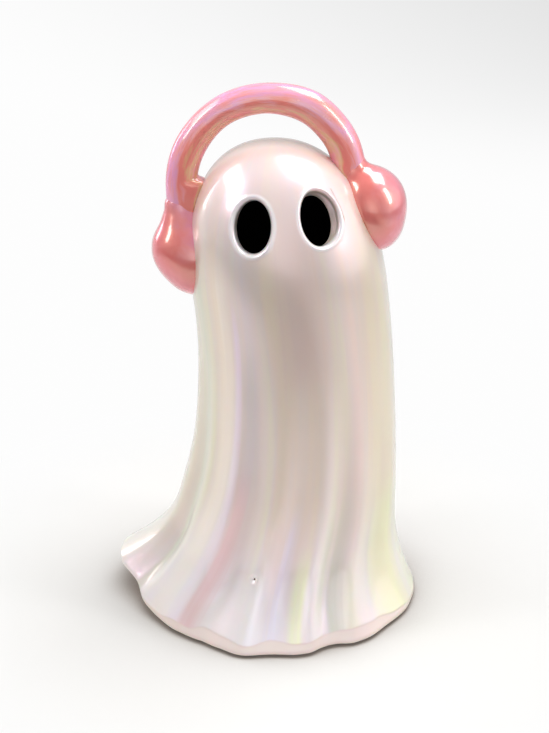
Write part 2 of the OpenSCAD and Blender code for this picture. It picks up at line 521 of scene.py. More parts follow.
@dataclass(frozen=True)
class PearlGlaze:
    """White glaze under a mother-of-pearl lustre that has run down in soft streaks. Painted light and shade
    lie over its folds, eye rims, hem and face.

    Heights are shares of the body's height, and lengths at the edge of the glaze are millimetres.
    """

    cream: Colour = (0.80, 0.73, 0.53)
    blush: Colour = (0.96, 0.81, 0.77)
    painted_light: Colour = (0.97, 0.94, 0.93)
    clay: Colour = (0.84, 0.77, 0.68)
    # valley and ridge_light are painted shade and painted light on the folds.
    valley: Colour = (0.60, 0.54, 0.45)
    ridge_light: Colour = (0.99, 0.97, 0.93)
    # Painted shade for the cut wall of the right eye.
    cut_wall_shade: Colour = (0.54, 0.46, 0.36)
    pooled_glaze_and_shade: Colour = (0.62, 0.52, 0.50)
    pastels: tuple[tuple[float, Colour], ...] = (
        (0.22, (0.84, 0.82, 0.58)), (0.36, (0.91, 0.80, 0.64)), (0.46, (0.89, 0.74, 0.69)),
        (0.56, (0.79, 0.73, 0.78)), (0.66, (0.78, 0.82, 0.66)), (0.80, (0.90, 0.86, 0.60)))
    head_from: float = 0.66
    head_full: float = 0.95
    foot_full: float = 0.06
    foot_to: float = 0.30
    wash_top_fade: float = 0.12
    wash_foot_out: float = 0.08
    wash_foot_in: float = 0.04
    wander: float = 9.0
    edge_soft: float = 0.45
    pool_shade_place: float = -0.1
    pool_shade_width: float = 0.55
    film_nm: float = 430.0
    washes_and_lights: tuple[WashAndLight, ...] = (
        # Painted light on the upturned front hem.
        WashAndLight(-27, 36, 0.0, 0.17, (1.0, 0.98, 0.94), 0.55),
        # Painted light on the lit flank of a fold.
        WashAndLight(-43, 8, 0.0, 0.85, (0.97, 0.93, 0.79), 0.60),
        WashAndLight(-28, 6, 0.0, 0.42, (0.86, 0.60, 0.57), 0.75),
        WashAndLight(-34, 4, 0.0, 0.75, (0.86, 0.76, 0.94), 0.60),
        # Painted highlights on the front hem, in this run and the next.
        WashAndLight(-16, 7, 0.0, 0.18, (1.0, 0.95, 0.92), 0.85),
        WashAndLight(-7, 6, 0.0, 0.20, (0.97, 0.98, 1.0), 0.80),
        WashAndLight(1.5, 5, 0.0, 0.32, (0.89, 0.87, 1.0), 0.85),
        WashAndLight(11, 5.5, 0.0, 0.24, (0.94, 1.0, 0.64), 0.90),
        # Painted light on the lit flank of a fold.
        WashAndLight(20, 5, 0.0, 0.26, (0.98, 0.98, 0.96), 0.60),
        # Painted shade in a fold valley.
        WashAndLight(30, 6, 0.0, 0.34, (0.68, 0.75, 0.56), 0.62),
        WashAndLight(37, 7, 0.0, 0.22, (0.96, 0.97, 0.72), 0.70),
        WashAndLight(57, 12, 0.0, 0.30, (0.94, 0.95, 0.70), 0.65),
        WashAndLight(84, 13, 0.0, 0.36, (0.92, 0.97, 0.64), 0.75),
        WashAndLight(63, 16, 0.0, 0.34, (0.91, 0.97, 0.58), 0.75),
        # Painted soft highlight beside the left eye.
        WashAndLight(-27, 8, 0.83, 1.0, (0.90, 0.94, 1.0), 0.50),
        # Painted shade over the front of the face under the eyes.
        WashAndLight(6, 24, 0.58, 0.93, (0.74, 0.60, 0.52), 0.80),
        WashAndLight(-86, 18, 0.0, 0.24, (0.84, 0.85, 0.77), 0.60),
        WashAndLight(-78, 24, 0.12, 0.88, (0.78, 0.73, 0.60), 0.50),
        # Painted shade in a fold valley.
        WashAndLight(-63, 7, 0.0, 0.85, (0.68, 0.70, 0.58), 0.75),
        WashAndLight(-26, 8, 0.34, 0.85, (0.74, 0.70, 0.76), 0.40),
        WashAndLight(36, 9, 0.35, 0.80, (0.93, 0.77, 0.70), 0.55),
        WashAndLight(150, 22, 0.0, 0.55, (0.82, 0.76, 0.90), 0.45),
        WashAndLight(-140, 22, 0.0, 0.60, (0.90, 0.78, 0.74), 0.45),
    )

    def ground(self, bench: Bench, around: tuple[Wire, Wire, Wire], strands: Wire, head: Wire,
               foot: Wire) -> Wire:
        """Colour of the glaze under its washes, with painted light towards the foot.

        Args:
            bench: the material's bench.
            around: the three parts of the place round the figure.
            strands: the fine streaks.
            head: share of the head.
            foot: share of the foot.

        Returns:
            The colour.
        """
        across, ahead, rise = around
        drift = bench.noise(bench.vector(across * 2.0, ahead * 2.0, rise * 0.55), scale=1.6, distortion=0.4)
        pastel = bench.ramp(drift * 0.72 + strands * 0.28, self.pastels)
        # Painted light: towards the foot, where the flared hem faces the light, the colour turns to
        # painted_light.
        plain = bench.mix(foot, bench.mix(head, self.cream, self.blush), self.painted_light)
        return bench.mix(0.42 - 0.12 * head, plain, pastel)

    def washed_and_lit(self, bench: Bench, colour: Wire, turn: Wire, rise: Wire) -> Wire:
        """Lays the runs of lustre, painted light and painted shade over a colour.

        Args:
            bench: the material's bench.
            colour: the colour below.
            turn: angle round the figure.
            rise: share of the height.

        Returns:
            The colour with its washes.
        """
        for wash_and_light in self.washes_and_lights:
            over = bench.hump(turn, wash_and_light.turn, wash_and_light.width)
            over = over * bench.step(rise, wash_and_light.high, wash_and_light.high - self.wash_top_fade)
            if wash_and_light.low > 0:
                over = over * bench.step(rise, wash_and_light.low - self.wash_foot_out, wash_and_light.low + self.wash_foot_in)
            colour = bench.mix(over * wash_and_light.share, colour, wash_and_light.tint)
        return colour

    def painted_light_and_shade(self, bench: Bench, colour: Wire, foot: Wire) -> Wire:
        """Paints shade into the valleys and on the cut wall of an eye hole, and paints light on the ridges
        and highlights on the rims.

        Args:
            bench: the material's bench.
            colour: the colour below.
            foot: share of the foot.

        Returns:
            The colour with painted light and shade.
        """
        relief, lip = bench.attribute("relief"), bench.attribute("lip")
        # Painted shade in the fold valleys and painted light on the ridges, from the folds' relief.
        deep = bench.step(relief, 0.0, -0.75) * (0.44 - 0.32 * foot)
        raised = bench.step(relief, 0.05, 0.60) * (0.34 + 0.20 * foot)
        colour = bench.mix(raised, bench.mix(deep, colour, self.valley), self.ridge_light)
        # Painted highlight on the eye rims, and painted shade on the right eye's cut wall.
        colour = bench.mix(bench.step(lip, 0.0, 1.0) * 0.85, colour, self.painted_light)
        return bench.mix(bench.step(lip, 0.0, -1.0) * 0.60, colour, self.cut_wall_shade)

    def material(self) -> bpy.types.Material:
        """Makes the material; it reads the points' "around", "relief", "lip" and "above_glaze" values.

        Returns:
            The material.
        """
        bench = Bench(bpy.data.materials.new("pearl_lustre_glaze"))
        around = bench.axes(bench.attribute("around", "Vector"))
        across, ahead, rise = around
        turn = bench.math("ARCTAN2", across, ahead) * (180.0 / pi)
        fine = bench.vector(across * 9.0, ahead * 9.0, rise * 1.3)
        strands = bench.noise(fine, scale=1.5, detail=3.0, roughness=0.55, distortion=0.3)
        head = bench.step(rise, self.head_from, self.head_full)
        foot = bench.step(rise, self.foot_to, self.foot_full)
        colour = self.ground(bench, around, strands, head, foot)
        colour = self.washed_and_lit(bench, colour, turn + (strands - 0.5) * self.wander, rise)
        colour = self.painted_light_and_shade(bench, colour, foot)
        edge = bench.attribute("above_glaze")
        glazed = bench.step(edge, -self.edge_soft, self.edge_soft)
        # A faint darker line along the glaze's edge: partly glaze pooled there, partly painted shade of the
        # glaze's step.
        pool_and_shade = bench.hump(edge, self.pool_shade_place, self.pool_shade_width)
        colour = bench.mix(pool_and_shade * 0.09, bench.mix(1.0 - glazed, colour, self.clay), self.pooled_glaze_and_shade)
        orange_peel = bench.noise(bench.place(), scale=260.0)
        ripple = bench.noise(bench.place(), scale=60.0)
        return bench.surface({
            "Base Color": colour, "Roughness": 0.40 - 0.12 * glazed + strands * 0.06,
            "Metallic": glazed * (0.26 - 0.17 * foot - 0.08 * head),
            "Coat Weight": glazed, "Coat Roughness": 0.035, "Coat IOR": 1.5, "IOR": 1.6,
            "Subsurface Weight": 0.15, "Subsurface Scale": 0.004,
            "Thin Film Thickness": self.film_nm, "Thin Film IOR": 1.9,
            "Normal": bench.bump(orange_peel * 0.012 + ripple * 0.10 + glazed * 0.12, strength=0.8)})


@dataclass(frozen=True)
class DarkInside:
    """The unlit inside of the figure, stained black."""

    stain: Colour = (0.004, 0.004, 0.004)
    dust: Colour = (0.012, 0.010, 0.009)

    def material(self) -> bpy.types.Material:
        """Makes the material.

        Returns:
            The material.
        """
        bench = Bench(bpy.data.materials.new("black_stained_inside"))
        grain = bench.noise(bench.place(), scale=180.0, detail=3.0)
        return bench.surface({
            "Base Color": bench.mix(grain, self.stain, self.dust), "Roughness": 0.9 + grain * 0.1,
            "Specular IOR Level": 0.1})


@dataclass(frozen=True)
class PinkLustre:
    """Coral pink glaze under a lustre. Painted reflections of the lustre go across the form, from gold beside
    the head through coral to lilac outside.
    """

    gold: Colour = (0.90, 0.46, 0.25)
    coral: Colour = (0.98, 0.24, 0.22)
    rose: Colour = (1.0, 0.35, 0.39)
    lilac: Colour = (0.93, 0.38, 0.63)
    haze: Colour = (0.92, 0.42, 0.40)
    ear_red: Colour = (0.82, 0.16, 0.16)
    ear_share: float = 0.45
    ear_calm: float = 0.55
    film_nm: float = 520.0

    def lustre(self, bench: Bench, along: Wire, lie: Wire, ahead: Wire, ear: Wire) -> Wire:
        """Colour of the lustre, with its reflections painted across the form.

        Args:
            bench: the material's bench.
            along: place along the form.
            lie: place from its inner side, -1, to its outer side, 1.
            ahead: place from back to front.
            ear: 1 on the ear pieces and 0 on the band.

        Returns:
            The colour.
        """
        broad = bench.vector(along, lie * 0.9, ahead * 0.9)
        drift = bench.noise(broad, scale=0.9, distortion=0.5)
        fine = bench.vector(along * 0.8, lie * 3.2, ahead * 3.2)
        streak = bench.noise(fine, scale=1.4, detail=3.0, roughness=0.55, distortion=0.3)
        loose = 1.0 - ear * self.ear_calm
        # Painted reflection colours of the lustre, laid across the form from its inner to its outer side.
        band = lie * 0.34 + 0.5 + (drift - 0.5) * 0.75 * loose + (streak - 0.5) * 0.45 * loose
        return bench.ramp(band, (
            (0.10, self.rose), (0.26, self.gold), (0.38, self.coral), (0.53, self.coral), (0.62, self.rose),
            (0.73, self.lilac), (0.84, self.rose), (0.97, self.coral)))

    def material(self) -> bpy.types.Material:
        """Makes the material; "flow" runs along the form, from its inner to its outer side, and ahead.

        Returns:
            The material.
        """
        bench = Bench(bpy.data.materials.new("pink_lustre_glaze"))
        along, lie, ahead = bench.axes(bench.attribute("flow", "Vector"))
        ear = bench.step(bench.math("ABSOLUTE", along), 8.0, 9.0)
        mist = bench.noise(bench.place(), scale=95.0, detail=3.0, roughness=0.55, distortion=0.6)
        colour = self.lustre(bench, along, lie, ahead, ear)
        colour = bench.mix(bench.step(mist, 0.45, 0.80) * 0.30, colour, self.haze)
        colour = bench.mix(ear * self.ear_share, colour, self.ear_red)
        ripple = bench.noise(bench.place(), scale=110.0)
        peel = bench.noise(bench.place(), scale=420.0)
        return bench.surface({
            "Base Color": colour, "Roughness": 0.20 + mist * 0.10, "Metallic": 0.04 + 0.16 * ear,
            "Coat Weight": 0.60 + 0.40 * ear, "Coat Roughness": 0.03, "Coat IOR": 1.75, "IOR": 1.5,
            "Thin Film Thickness": self.film_nm, "Thin Film IOR": 1.8,
            "Normal": bench.bump(ripple * 0.14 + peel * 0.012, strength=0.8)})


@dataclass(frozen=True)
class Silicone:
    """Milky silicone of the bumpers."""

    milk: Colour = (0.80, 0.81, 0.80)
    shade: Colour = (0.70, 0.71, 0.69)

    def material(self) -> bpy.types.Material:
        """Makes the material.

        Returns:
            The material.
        """
        bench = Bench(bpy.data.materials.new("milky_silicone"))
        haze = bench.noise(bench.place(), scale=400.0)
        return bench.surface({
            "Base Color": bench.mix(haze, self.milk, self.shade), "Roughness": 0.42 + haze * 0.15,
            "Normal": bench.bump(haze * 0.03)})


# The ghost


@dataclass(frozen=True)
class Eye:
    """An eye hole: its place on the head, the way it is cut and its size.

    turn and lift are the hole's direction in degrees. lean makes the rim thicker on one side. slant is how
    much wider than the inner edge the outer one is cut, to a side and up. rim_light and wall fields rule the
    painted highlight on the rim and the painted shade on the cut wall behind it.
    """

    side: Side
    turn: float
    lift: float
    lean: float
    slant: tuple[float, float]
    rim_light_depth: float
    wall_shade: float
    width: float = 12.4
    height: float = 17.8
    rim: float = 2.15
    lip: float = 0.35
    inner_rim: float = 0.6
    rim_light_share: float = 0.75
    rim_light_fade: float = 0.5
    depth_fade: float = 0.8
    wall_near: float = 0.3
    wall_fade: float = 0.5
    wall_depth: float = 2.4
    wall_end: float = 9.0
    slant_run: float = 2.1
    slant_end: float = 5.2
    apron_rings: int = 5
    rim_rings: int = 8
    lip_ring: int = 2
    wall_rings: int = 6
    inner_bends: tuple[float, ...] = (0.35, 0.7, 1.0)
    inner_apron_rings: int = 3

    @property
    def half(self) -> np.ndarray:
        """Half the width and half the height of the inner edge."""
        return np.array([self.width / 2, self.height / 2])

    def widened(self, share: Values, toward: np.ndarray) -> np.ndarray:
        """How far the edge is wider toward a place of the oval, at a share of the way out."""
        slant = np.array(self.slant)
        return share * slant * np.maximum(toward * np.sign(slant), 0)

    def frame(self) -> tuple[np.ndarray, np.ndarray, np.ndarray]:
        """Directions to the hole's right, to its top and out of it.

        Returns:
            The three directions.
        """
        t, k = radians(self.turn), radians(self.lift)
        right = np.array([cos(t), sin(t), 0.0])
        up = np.array([-sin(k) * sin(t), sin(k) * cos(t), cos(k)])
        out = np.array([cos(k) * sin(t), -cos(k) * cos(t), sin(k)])
        return right, up, out

    def tint(self, points: np.ndarray, centre: np.ndarray) -> tuple[np.ndarray, np.ndarray]:
        """Shares of the rim's painted highlight and of the wall's painted shade at points.

        Args:
            points: the points.
            centre: middle of the hole on the surface.

        Returns:
            The share of the rim and the share of the wall.
        """
        right, up, out = self.frame()
        offset = points - centre
        place = np.stack([offset @ right, offset @ up], 1)
        depth = -(offset @ out)
        outward = np.clip((self.slant_end - depth) / self.slant_run, 0, 1)
        wider = np.abs(self.slant) * (place * np.sign(self.slant) > 0)
        rho = np.linalg.norm(place / (self.half + wider * outward[:, None]), axis=1) + 1e-6
        beyond = np.linalg.norm(place, axis=1) * (1 - 1 / rho)
        rim = 1 - smooth((beyond - self.rim_light_share * self.rim) / (self.rim_light_fade * self.rim))
        rim = rim * smooth((self.rim_light_depth - depth) / self.depth_fade)
        wall = 1 - smooth((beyond - self.wall_near) / self.wall_fade)
        wall = wall * smooth((depth - self.wall_depth) / self.depth_fade) * (depth < self.wall_end)
        return rim, wall * self.wall_shade


@dataclass(frozen=True)
class Pinhole:
    """A pinhole of the glaze, low at the front: its place, its dimple with a swell round it, and its well."""

    turn: float = -13.6
    z: float = 25.7
    dimple: float = 0.55
    dimple_r: float = 1.0
    swell: float = 0.10
    swell_r: float = 2.1
    swell_w: float = 0.7
    mouth_r: float = 0.46
    mouth_slope: float = 5.0
    apron: tuple[float, ...] = (0.25, 0.5, 0.75)
    rings: tuple[float, ...] = (3.2, 2.8, 2.45, 2.1, 1.8, 1.5, 1.2, 0.95, 0.75, 0.58, 0.46, 0.40, 0.37)
    well: tuple[tuple[float, float], ...] = ((1.4, 0.33), (1.8, 0.22))
    bottom: float = 1.9
    half_rows: int = 5
    half_columns: int = 4

    def relief(self, rho: np.ndarray) -> np.ndarray:
        """Height of the dimple and its swell at a distance from the middle."""
        swell = self.swell * bell(rho, self.swell_r, self.swell_w)
        return swell - self.dimple * bell(rho, 0.0, self.dimple_r)


@dataclass(frozen=True)
class Sweep:
    """How far the folds lie turned outwards at the hem: about an angle, over a width, up to a height."""

    turn: float
    width: float
    reach: float
    top_z: float


@dataclass
class GhostBody:
    """The hollow cast sheet-ghost: skirt with folds, head, eye holes, base and dark inside.

    A row of fold_table is a fold's angle, its height as a share of fold_h, less than 0 in a valley, and the
    share of the skirt up to which it runs. The rows of glaze_line and hem_reach are angles and lengths.
    """

    body_h: float = 180.4
    head_r: float = 36.25
    dome_h: float = 56.4
    flare: float = 19.5
    wall: float = 4.8
    base_t: float = 5.0
    base_edge: float = 0.8
    hem_round: float = 3.5
    hem_edge: float = 2.4
    sway: float = 9.4
    fold_h: float = 2.6
    tail_reach: float = 8.6
    side_reach: float = 1.2
    side_fill: float = 1.3
    tail_lift: float = 13.4
    base_opening_d: float = 60.0
    eye_drop: float = 22.75
    eye_step: float = 2.3
    eye_spread: float = 22.15
    face_turn: float = 4.15
    depth_share: float = 0.97
    dome_power: float = 2.3
    flare_power: float = 2.7
    sway_power: float = 1.5
    tail_reach_power: float = 9.9
    side_reach_power: float = 14.0
    tail_lift_power: float = 3.1
    tail_angle: float = -95.7
    tail_spread: float = 25.7
    side_angle: float = 86.0
    side_spread: float = 28.0
    lean_back: float = 1.2
    lean_from_z: float = 50.0
    lean_to_z: float = 125.0
    lean_fade: float = 45.0
    belly: float = 0.45
    belly_z: float = 85.0
    belly_w: float = 22.0
    waist: float = 3.1
    waist_z: float = 24.0
    waist_w: float = 19.0
    foot_trim: float = 0.2
    fold_fade_power: float = 1.6
    fold_hem_share: float = 0.25
    fold_swell_z: float = 19.0
    fold_top: float = 0.75
    fold_table: tuple[tuple[float, float, float], ...] = (
        (-180, 0.85, 0.8), (-168, -0.85, 0.8), (-152, 0.9, 0.8), (-136, -0.9, 0.7), (-118, 0.55, 0.7),
        (-104, 0.2, 0.6), (-80, 1.1, 0.55), (-65, -1.2, 1.3), (-51, 0.75, 0.6), (-42, 0.75, 1.0),
        (-33, 1.25, 1.25), (-20, -1.25, 1.0), (-8, 0.75, 0.85), (2, -0.95, 0.95), (16, 1.25, 0.95),
        (27, -1.35, 0.95), (38, 0.9, 1.0), (55, -0.7, 0.9), (72, 0.45, 0.8), (90, 0.7, 0.7),
        (106, -0.85, 0.8), (122, 0.9, 0.8), (138, -0.85, 0.8), (152, 0.75, 0.8), (166, -0.75, 0.8),
        (180, 0.85, 0.8))
    sweeps: tuple[Sweep, ...] = (Sweep(-55, 34, 14.0, 60), Sweep(30, 30, 4.2, 45))
    glaze_line: tuple[tuple[float, float], ...] = (
        (-180, 4.2), (-165, 5.6), (-150, 3.6), (-135, 5.2), (-120, 3.8), (-98, 1.6), (-75, 1.6), (-55, 2.6),
        (-46, 4.2), (-38, 3.8), (-32, 5.4), (-20.5, 4.6), (-11, 3.6), (-2, 5.2), (8, 4.2), (19, 4.6),
        (34.5, 5.6), (46, 5.0), (58, 3.2), (73, 2.0), (90, 2.6), (110, 5.4), (130, 3.8), (150, 5.6),
        (180, 4.2))
    hem_reach: tuple[tuple[float, float], ...] = (
        (-180, 0), (-60, 0), (-43, -0.3), (-32, 0.5), (-23, 1.7), (-14, 2.7), (-5, 1.8), (6, 1.7), (13, 1.0),
        (19, 0.1), (26, 0.1), (33, 1.6), (41, 2.3), (50, 2.0), (62, 2.2), (75, 1.4), (92, 0.6), (115, 0),
        (180, 0))
    hem_reach_power: float = 12.0
    glaze_t: float = 0.16
    glaze_t_fade: float = 1.0
    glazed_foot_z: float = 14.0
    shade_lead: float = 4.0
    shade_lead_turn: float = 15.0
    columns: int = 288
    dome_rows: int = 64
    skirt_rows: int = 118
    skirt_rows_power: float = 1.3
    inner_skirt_rows: int = 24
    hem_rows: int = 12
    base_bends: tuple[float, ...] = (90, 60, 30, 0)
    foot_shares: tuple[float, ...] = (0.33, 0.67, 1.0)
    eye_columns: int = 15
    eye_gap_down: float = 13.6
    eye_gap_up: float = 12.6
    pinhole: Pinhole = Pinhole()
    eyes: tuple[Eye, ...] = (
        # The left eye's painted rim highlight runs deeper, over its shaded wall; only the right eye's wall
        # gets painted shade.
        Eye(Side.LEFT, -6.0, 12.0, lean=-0.2, slant=(-0.35, 0.3), rim_light_depth=4.6, wall_shade=0.0),
        Eye(Side.RIGHT, 21.5, 20.0, lean=0.0, slant=(1.6, 0.9), rim_light_depth=2.6, wall_shade=1.0))
    clay: Clay = field(default_factory=Clay)

    @property
    def shoulder_z(self) -> float:
        """Height at which the skirt ends and the head starts."""
        return self.body_h - self.dome_h

    @property
    def turns(self) -> np.ndarray:
        """Angles of the columns."""
        return -180 + 360 * np.arange(self.columns) / self.columns

    @property
    def phases(self) -> np.ndarray:
        """Phase angles of the head's rows, from the shoulders up."""
        return 90 * np.arange(self.dome_rows) / self.dome_rows

    @property
    def shares(self) -> np.ndarray:
        """Shares of the way up to the shoulders of the skirt's rows, closer together at the hem."""
        hem = self.hem_edge / self.shoulder_z
        return hem + (1 - hem) * (np.arange(self.skirt_rows) / self.skirt_rows) ** self.skirt_rows_power

    def bow(self, z: Values) -> Values:
        """How far the middle of the body lies to the right at a height.

        Args:
            z: height.

        Returns:
            The distance.
        """
        lean = smooth((z - self.lean_from_z) / self.lean_fade)
        lean = lean * (1 - smooth((z - self.lean_to_z) / self.lean_fade))
        curve = np.maximum(np.sin(pi * np.clip(z / self.body_h, 0, 1)), 0.0) ** self.sway_power
        return self.sway * curve - self.lean_back * lean

    def around(self, turn: np.ndarray, r: Values, z: Values) -> np.ndarray:
        """Points at an angle, a radius and a height about the bowed middle.

        Args:
            turn: angle.
            r: radius.
            z: height.

        Returns:
            The points.
        """
        a = np.radians(turn)
        x = self.bow(z) + r * np.sin(a)
        return np.stack(np.broadcast_arrays(x, -r * self.depth_share * np.cos(a), z + 0 * a), -1)

    def tail(self, turn: np.ndarray) -> np.ndarray:
        """Share of the lifted corner at an angle."""
        return bell(turn, self.tail_angle, self.tail_spread)

    def swept(self, turn: np.ndarray, z: np.ndarray) -> np.ndarray:
        """Angle at which a fold that passes here runs higher up; the folds sweep outwards to the hem."""
        more = [s.reach * bell(turn, s.turn, s.width) * (1 - smooth(z / s.top_z)) for s in self.sweeps]
        return turn + sum(more)

    def fold(self, turn: np.ndarray, z: np.ndarray) -> np.ndarray:
        """Rise of the folds over the plain skirt.

        Args:
            turn: angles.
            z: heights.

        Returns:
            The rise, less than 0 in a valley.
        """
        table = np.array(self.fold_table)
        turn = self.swept(turn, z)
        i = np.clip(np.searchsorted(table[:, 0], turn, side="right") - 1, 0, len(table) - 2)
        upper = 1 - smooth((z / self.shoulder_z - self.fold_top) / (1 - self.fold_top))
        swell = self.fold_hem_share + (1 - self.fold_hem_share) * smooth(z / self.fold_swell_z)

        def part(row: np.ndarray) -> np.ndarray:
            """Rise that one row of the table gives."""
            fade = np.maximum(1 - z / (table[row, 2] * self.shoulder_z), 0) ** self.fold_fade_power
            return table[row, 1] * self.fold_h * fade * swell * upper

        k = smooth((turn - table[i, 0]) / (table[i + 1, 0] - table[i, 0]))
        return (1 - k) * part(i) + k * part(i + 1)

    def skirt_r(self, s: Values) -> Values:
        """Radius of the plain skirt at the share s of the way up to the shoulders.

        Args:
            s: the share.

        Returns:
            The radius.
        """
        z = s * self.shoulder_z
        trim = self.belly * bell(z, self.belly_z, self.belly_w)
        trim = trim - self.waist * bell(z, self.waist_z, self.waist_w)
        straight = self.head_r - self.foot_trim + self.foot_trim * smooth(s * 2)
        return straight + self.flare * (1 - s) ** self.flare_power + trim

    def glaze_z(self, turn: np.ndarray) -> np.ndarray:
        """Height of the edge of the glaze over the lowest line of the hem."""
        return between(self.glaze_line, turn)

    def skirt(self, turn: np.ndarray, s: Values, inset: float = 0.0) -> np.ndarray:
        """Points of the skirt.

        Args:
            turn: angles.
            s: share of the way up to the shoulders.
            inset: distance inside the surface.

        Returns:
            The points.
        """
        tail, side = self.tail(turn), bell(turn, self.side_angle, self.side_spread)
        z = self.tail_lift * tail * (1 - s) ** self.tail_lift_power + s * self.shoulder_z
        corner = self.tail_reach * tail * (1 - s) ** self.tail_reach_power
        corner = corner + self.side_reach * side * (1 - s) ** self.side_reach_power
        corner = corner + self.side_fill * side * bell(s * self.shoulder_z, self.waist_z, self.waist_w)
        corner = corner + between(self.hem_reach, turn) * (1 - s) ** self.hem_reach_power
        return self.around(turn, self.skirt_r(s) + corner + self.fold(turn, z) - inset, z)

    def dome(self, turn: np.ndarray, phase: float, inset: float = 0.0) -> np.ndarray:
        """Points of the head.

        Args:
            turn: angles.
            phase: phase angle up the head's outline.
            inset: distance inside the surface.

        Returns:
            The points.
        """
        rise = sin(radians(phase))
        r = (self.head_r - inset) * max(0.0, 1 - rise ** self.dome_power) ** (1 / self.dome_power)
        return self.around(turn, r, self.shoulder_z + (self.dome_h - inset) * rise)

    def depth(self, points: np.ndarray, inset: float = 0.0) -> np.ndarray:
        """How far points lie outside the head's surface, measured level; less than 0 inside.

        Args:
            points: the points.
            inset: distance inside the surface from which it is measured.

        Returns:
            The distances.
        """
        x, y, z = points[..., 0], points[..., 1], points[..., 2]
        rise = np.clip((z - self.shoulder_z) / (self.dome_h - inset), 0, 1)
        dome = (self.head_r - inset) * (1 - rise ** self.dome_power) ** (1 / self.dome_power)
        s = np.clip(z / self.shoulder_z, 0, 1)
        r = np.where(z > self.shoulder_z, dome, self.skirt_r(s) - inset)
        return np.hypot(x - self.bow(z), y / self.depth_share) - r

    def cast(self, points: np.ndarray, way: np.ndarray, inset: float = 0.0) -> np.ndarray:
        """Moves points along a direction on to the head's surface.

        Args:
            points: the points.
            way: the direction out of the surface.
            inset: distance inside the surface.

        Returns:
            The points on the surface.
        """
        far = 22.0
        moved = leave(lambda k: self.depth(points + k[:, None] * way, inset) > 0, len(points), -far, far)
        return points + moved[:, None] * way

    def eye_centre(self, eye: Eye) -> np.ndarray:
        """Centre of an eye on the surface.

        Args:
            eye: the eye.

        Returns:
            The point.
        """
        z = self.body_h - self.eye_drop + eye.side.value * self.eye_step / 2
        phase = np.degrees(np.arcsin((z - self.shoulder_z) / self.dome_h))
        return self.dome(np.array([self.face_turn + eye.side.value * self.eye_spread]), phase)[0]

    def cut_eye(self, eye: Eye, outer: np.ndarray, inner: np.ndarray) -> None:
        """Fills the gap in the outer and inner surface with the rims and the tunnel of one eye.

        Args:
            eye: the eye.
            outer: indices of the loop round the gap outside.
            inner: the same inside, in the same order.
        """
        right, up, out = eye.frame()
        centre = self.eye_centre(eye)
        every = np.concatenate(self.clay.points)

        def plane(points: np.ndarray) -> np.ndarray:
            """Places of points in the eye's own plane."""
            return np.stack([(points - centre) @ right, (points - centre) @ up], 1)

        def back(places: np.ndarray, inset: float = 0.0) -> np.ndarray:
            """Points of the surface, or of the inner one, at places of the eye's own plane."""
            return self.cast(centre + places[:, :1] * right + places[:, 1:] * up, out, inset)

        first, last = plane(every[outer]), plane(every[inner])
        phase = np.unwrap(np.arctan2(first[:, 1] / eye.half[1], first[:, 0] / eye.half[0]))
        even = phase[0] + np.arange(len(phase)) * (2 * pi / len(phase))
        phase = (phase + even + (phase - even).mean()) / 2
        oval = np.stack([np.cos(phase), np.sin(phase)], 1)
        across = oval / eye.half
        across /= np.linalg.norm(across, axis=1)[:, None]

        def throat(grow: float, out_share: float = 1.0) -> np.ndarray:
            """The hole's outline grown by a distance, more on the side to which the rim leans."""
            leaning = across * grow * (1 + eye.lean * oval[:, :1] * (grow > eye.inner_rim))
            return oval * eye.half + leaning + eye.widened(out_share, oval)

        wide, inside = throat(eye.rim), throat(eye.inner_rim, 0.0)
        rings = [(back(first * (1 - k) + wide * k), Finish.GLAZE)
                 for k in np.linspace(0, 1, eye.apron_rings + 2)[1:-1]]
        for k in range(eye.rim_rings + 1):
            bend = radians(90 * k / eye.rim_rings)
            fall = smooth((k - eye.lip_ring) / (eye.rim_rings - eye.lip_ring))
            rise = eye.lip * float(smooth(k / eye.lip_ring) * (1 - fall)) - eye.rim * (1 - cos(bend))
            rings.append((back(throat(eye.rim * (1 - sin(bend)))) + out * rise, Finish.GLAZE))
        outer_edge = rings[-1][0]
        inner_edge = back(throat(0.0, 0.0), self.wall) + out * eye.inner_rim
        for k in np.linspace(0, 1, eye.wall_rings + 1)[1:]:
            rings.append((outer_edge * (1 - k) + inner_edge * k, Finish.GLAZE))
        for k in eye.inner_bends:
            bend = radians(90 * k)
            grow, rise = eye.inner_rim * (1 - cos(bend)), eye.inner_rim * (1 - sin(bend))
            rings.append((back(throat(grow, 0.0), self.wall) + out * rise, Finish.INSIDE))
        for k in np.linspace(0, 1, eye.inner_apron_rings + 2)[1:-1]:
            rings.append((back(inside * (1 - k) + last * k, self.wall), Finish.INSIDE))
        self.clay.band(self.clay.chain(outer, rings), inner, Finish.INSIDE)

    def cut_pinhole(self, loop: np.ndarray, places: np.ndarray, centre_s: float) -> None:
        """Fills a small gap in the skirt with a shallow dimple and the pinhole in its middle.

        Args:
            loop: indices of the loop round the gap.
            places: its angles and shares up the skirt.
            centre_s: place of the pinhole up the skirt.
        """
        pin = self.pinhole
        turn0, s0 = np.array([pin.turn]), np.array([centre_s])
        step_turn, step_s = 0.05, 0.0005

        def skin(turn: np.ndarray, s: np.ndarray) -> tuple[np.ndarray, np.ndarray]:
            """Points of the skirt and the directions out of it."""
            here = self.skirt(turn, s)
            out = np.cross(self.skirt(turn + step_turn, s) - here, self.skirt(turn, s + step_s) - here)
            return here, out / np.linalg.norm(out, axis=1)[:, None]

        here = self.skirt(turn0, s0)[0]
        degree = np.linalg.norm(self.skirt(turn0 + 1, s0)[0] - here)
        whole = np.linalg.norm(self.skirt(turn0, s0 + 0.01)[0] - here) * 100

        def at(spots: np.ndarray) -> tuple[np.ndarray, np.ndarray]:
            """Points of the skirt and the directions out of it at places in millimetres from the pinhole."""
            return skin(pin.turn + spots[:, 0] / degree, centre_s + spots[:, 1] / whole)

